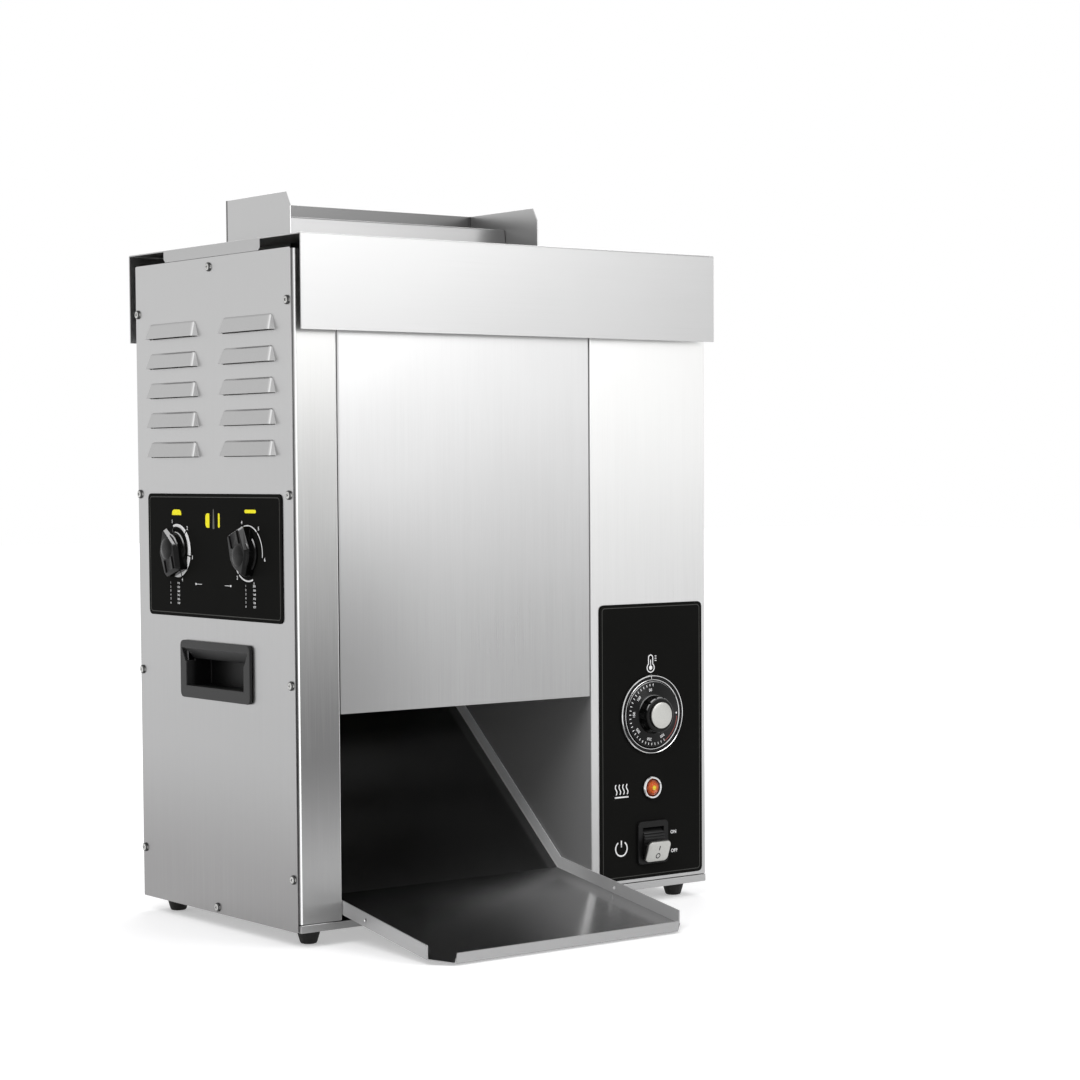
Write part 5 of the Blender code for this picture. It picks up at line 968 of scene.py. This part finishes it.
amber, paint = finish("amber_lens")
where = paint.node("ShaderNodeMapping", {}, {"Vector": paint.place(), "Location": -at(*lamp_place)})
x, z = paint.along(where, "X"), paint.along(where, "Z")
radius = (x * x + z * z).root()
core = 1.0 - radius.soft(0.0014, 0.0030)
edge = radius.soft(0.0045, 0.0080)
facets = paint.node("ShaderNodeTexVoronoi", {"feature": "F1"}, {"Vector": where, "Scale": 620.0},
                    out="Distance")
# The lens is yellow in its middle and darker red towards its rim, darker between the facets there, and
# bright in the middle of each facet, a painted highlight for the facets' sparkle. It also gives a faint glow
# of its own, yellow in its middle.
tone = paint.mix(paint.mix(rgb("cc5a10"), rgb("7e2c0c"), edge), rgb("d8cf2a"), core * 0.9)
tone = paint.mix(tone, rgb("5a1a08"), facets.soft(0.42, 0.62) * edge)
tone = paint.mix(tone, rgb("ffb04a"), (1.0 - facets.soft(0.08, 0.2)) * 0.6)
paint.surface(base_color=tone, roughness=facets * 0.1 + 0.12, specular_ior_level=0.3,
              emission_color=paint.mix(rgb("401200"), rgb("808010"), core), emission_strength=0.35,
              coat_weight=0.3, coat_roughness=0.05, normal=paint.bump(facets, 0.4, 0.0004))
lens = turned("lens", [(8.3, -16.0), (8.3, 1.4), (7.4, 3.1), (6.2, 2.5), (5.0, 4.1), (3.8, 3.5), (2.6, 5.0),
                       (1.5, 4.4), (0.7, 5.3)], 18)
bevelled(lens, 0.12, 2, 15.0)
smooth(lens, 12.0)
settle(lens, lamp_place, "front")
wear(lens, amber, "casing")
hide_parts("lamp_lens")


# Switch: a black moulded rocker in a deep housing, ribbed above its cap, and a silver cap with the
# two power signs that is clipped on the rocker's end. It leans 20 degrees when off.
rocker_place, off_lean = (fittings_across, 11.6, 60.0), 20.0
cap_reach, sign_reach, rib_reach = 22.5, 25.98, 17.7
for node in ("switch_housing", "switch_paddle"):
    dress(node, boot_black, 0.3)


def leaning(piece, angle):
    """Turns a piece about the rocker's pin."""
    alone(piece)
    piece.matrix_world = Matrix.Rotation(math.radians(angle), 4, "X")
    bpy.ops.object.transform_apply(location=True, rotation=True, scale=True)
    return piece


rocker_cap = flat("rocker_cap", rounded(28.0, 21.5, 4.6), 2.2)
pick(rocker_cap, "FACE", lambda centre, normal: normal.z > 0.9)
for step_up, share in ((0.8, 0.965), (0.4, 0.90), (0.1, 0.7)):
    bpy.ops.mesh.extrude_region_move(TRANSFORM_OT_translate={"value": (0.0, 0.0, step_up)})
    bpy.ops.transform.resize(value=(share, share, 1.0), center_override=(0.0, 0.0, 0.0))
outward(moved(rocker_cap, 0.0, 0.0, cap_reach))
bevelled(rocker_cap, 0.35, 3, 30.0)
smooth(rocker_cap, 40.0)
settle(leaning(rocker_cap, off_lean), rocker_place, "front")
wear(rocker_cap, silver, "switch")
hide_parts("switch_cap")

dark_ink = ink("dark_ink", "1a1a1a", "262626")
on_sign = stroke("on_sign", [(0.0, 1.8), (0.0, 6.6)], 1.5)
off_sign = shifted(stroke("off_sign", arc(2.4, 0.0, 345.0, 15.0), 1.3, closed=True), 0.0, -4.2)
power_signs = moved(joined("power_signs", [on_sign, off_sign]), 0.0, 0.0, sign_reach)
settle(leaning(power_signs, off_lean), rocker_place, "front")
wear(power_signs, dark_ink, "switch")

ribs = []
for turn in (32.0, 41.0, 50.0):
    rib = moved(patch("rocker_rib", 25.4, 1.8, 0.5, 1.7), 0.0, 0.0, rib_reach)
    bevelled(rib, 0.25, 2, 40.0)
    ribs.append(leaning(rib, off_lean - turn))
rocker_ribs = joined("rocker_ribs", ribs)
smooth(rocker_ribs)
settle(rocker_ribs, rocker_place, "front")
wear(rocker_ribs, cup_black, "switch")


# Lid and feeder: stainless sheet folded and spot-welded, with a loose divider between the feeder's
# two slots. The lid lies over the casing with its skirts, and lifts off with what stands on it.
dress("top_cover", stainless("lid_sheet", "x", "b5b5b5", "9a9a9a", "8c8c8c", 0.36))
dress("feed_divider", stainless("divider_sheet", "x", "868686", "808080", "808080"))
# Painted shade: the feeder's rear wall, inside and in shadow, is painted darker.
shaded_rear_wall = at(0.0, 188.0, 0.0).y
dress("bun_feeder", stainless("feeder_sheet", "x", "bebebe", "8c8c8c", "8c8c8c",
                              spot=("666666", lambda paint: paint.place("Y") > shaded_rear_wall)))


# Chute and tray: one stainless sheet with raised edges, polished so that crowns slide. Where it runs
# into the lane it is painted darker, a painted reflection of the dark lane, and its raised edges
# carry a painted highlight, brightest there. The grain runs the way they slide, and it pulls out to the
# front.
tray_low, tray_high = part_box("chute_tray")
slide, paint = finish("polished_slide")
grain = paint.noise((1300.0, 10.0, 10.0), 3.0, 0.6)
smear = paint.noise((30.0, 9.0, 30.0), 3.0, 0.6)
flange_width = 0.0014
across, depth = paint.place("X"), paint.place("Y")
chute = depth.soft(at(0.0, -20.0, 0.0).y, at(0.0, 60.0, 0.0).y)
flange = ((across > tray_high.x - flange_width) | (across < tray_low.x + flange_width)
          | (depth < tray_low.y + flange_width))
# Towards the right, outside the chute, the floor is made less metallic, so that the lamps light it brighter
# there.
bright = across.soft(at(120.0, 0.0, 0.0).x, at(330.0, 0.0, 0.0).x) * (1.0 - chute)
tone = paint.mix(rgb("9c9c9c"), rgb("b6b6b6"), grain * 0.5 + paint.noise(6.0, 2.0) * 0.5)
tone = paint.mix(tone, rgb("666666"), chute)
painted_highlight = paint.mix(rgb("b0b0b0"), rgb("f0f0f0"), chute)
paint.surface(base_color=paint.mix(tone, painted_highlight, flange),
              metallic=0.975 - bright * 0.36 - flange * (0.55 + chute * 0.35),
              roughness=smear * 0.07 + grain * 0.03 + 0.13 + flange * 0.12 + chute * 0.03,
              normal=paint.bump(grain, 0.03, 0.0001))
dress("chute_tray", slide)
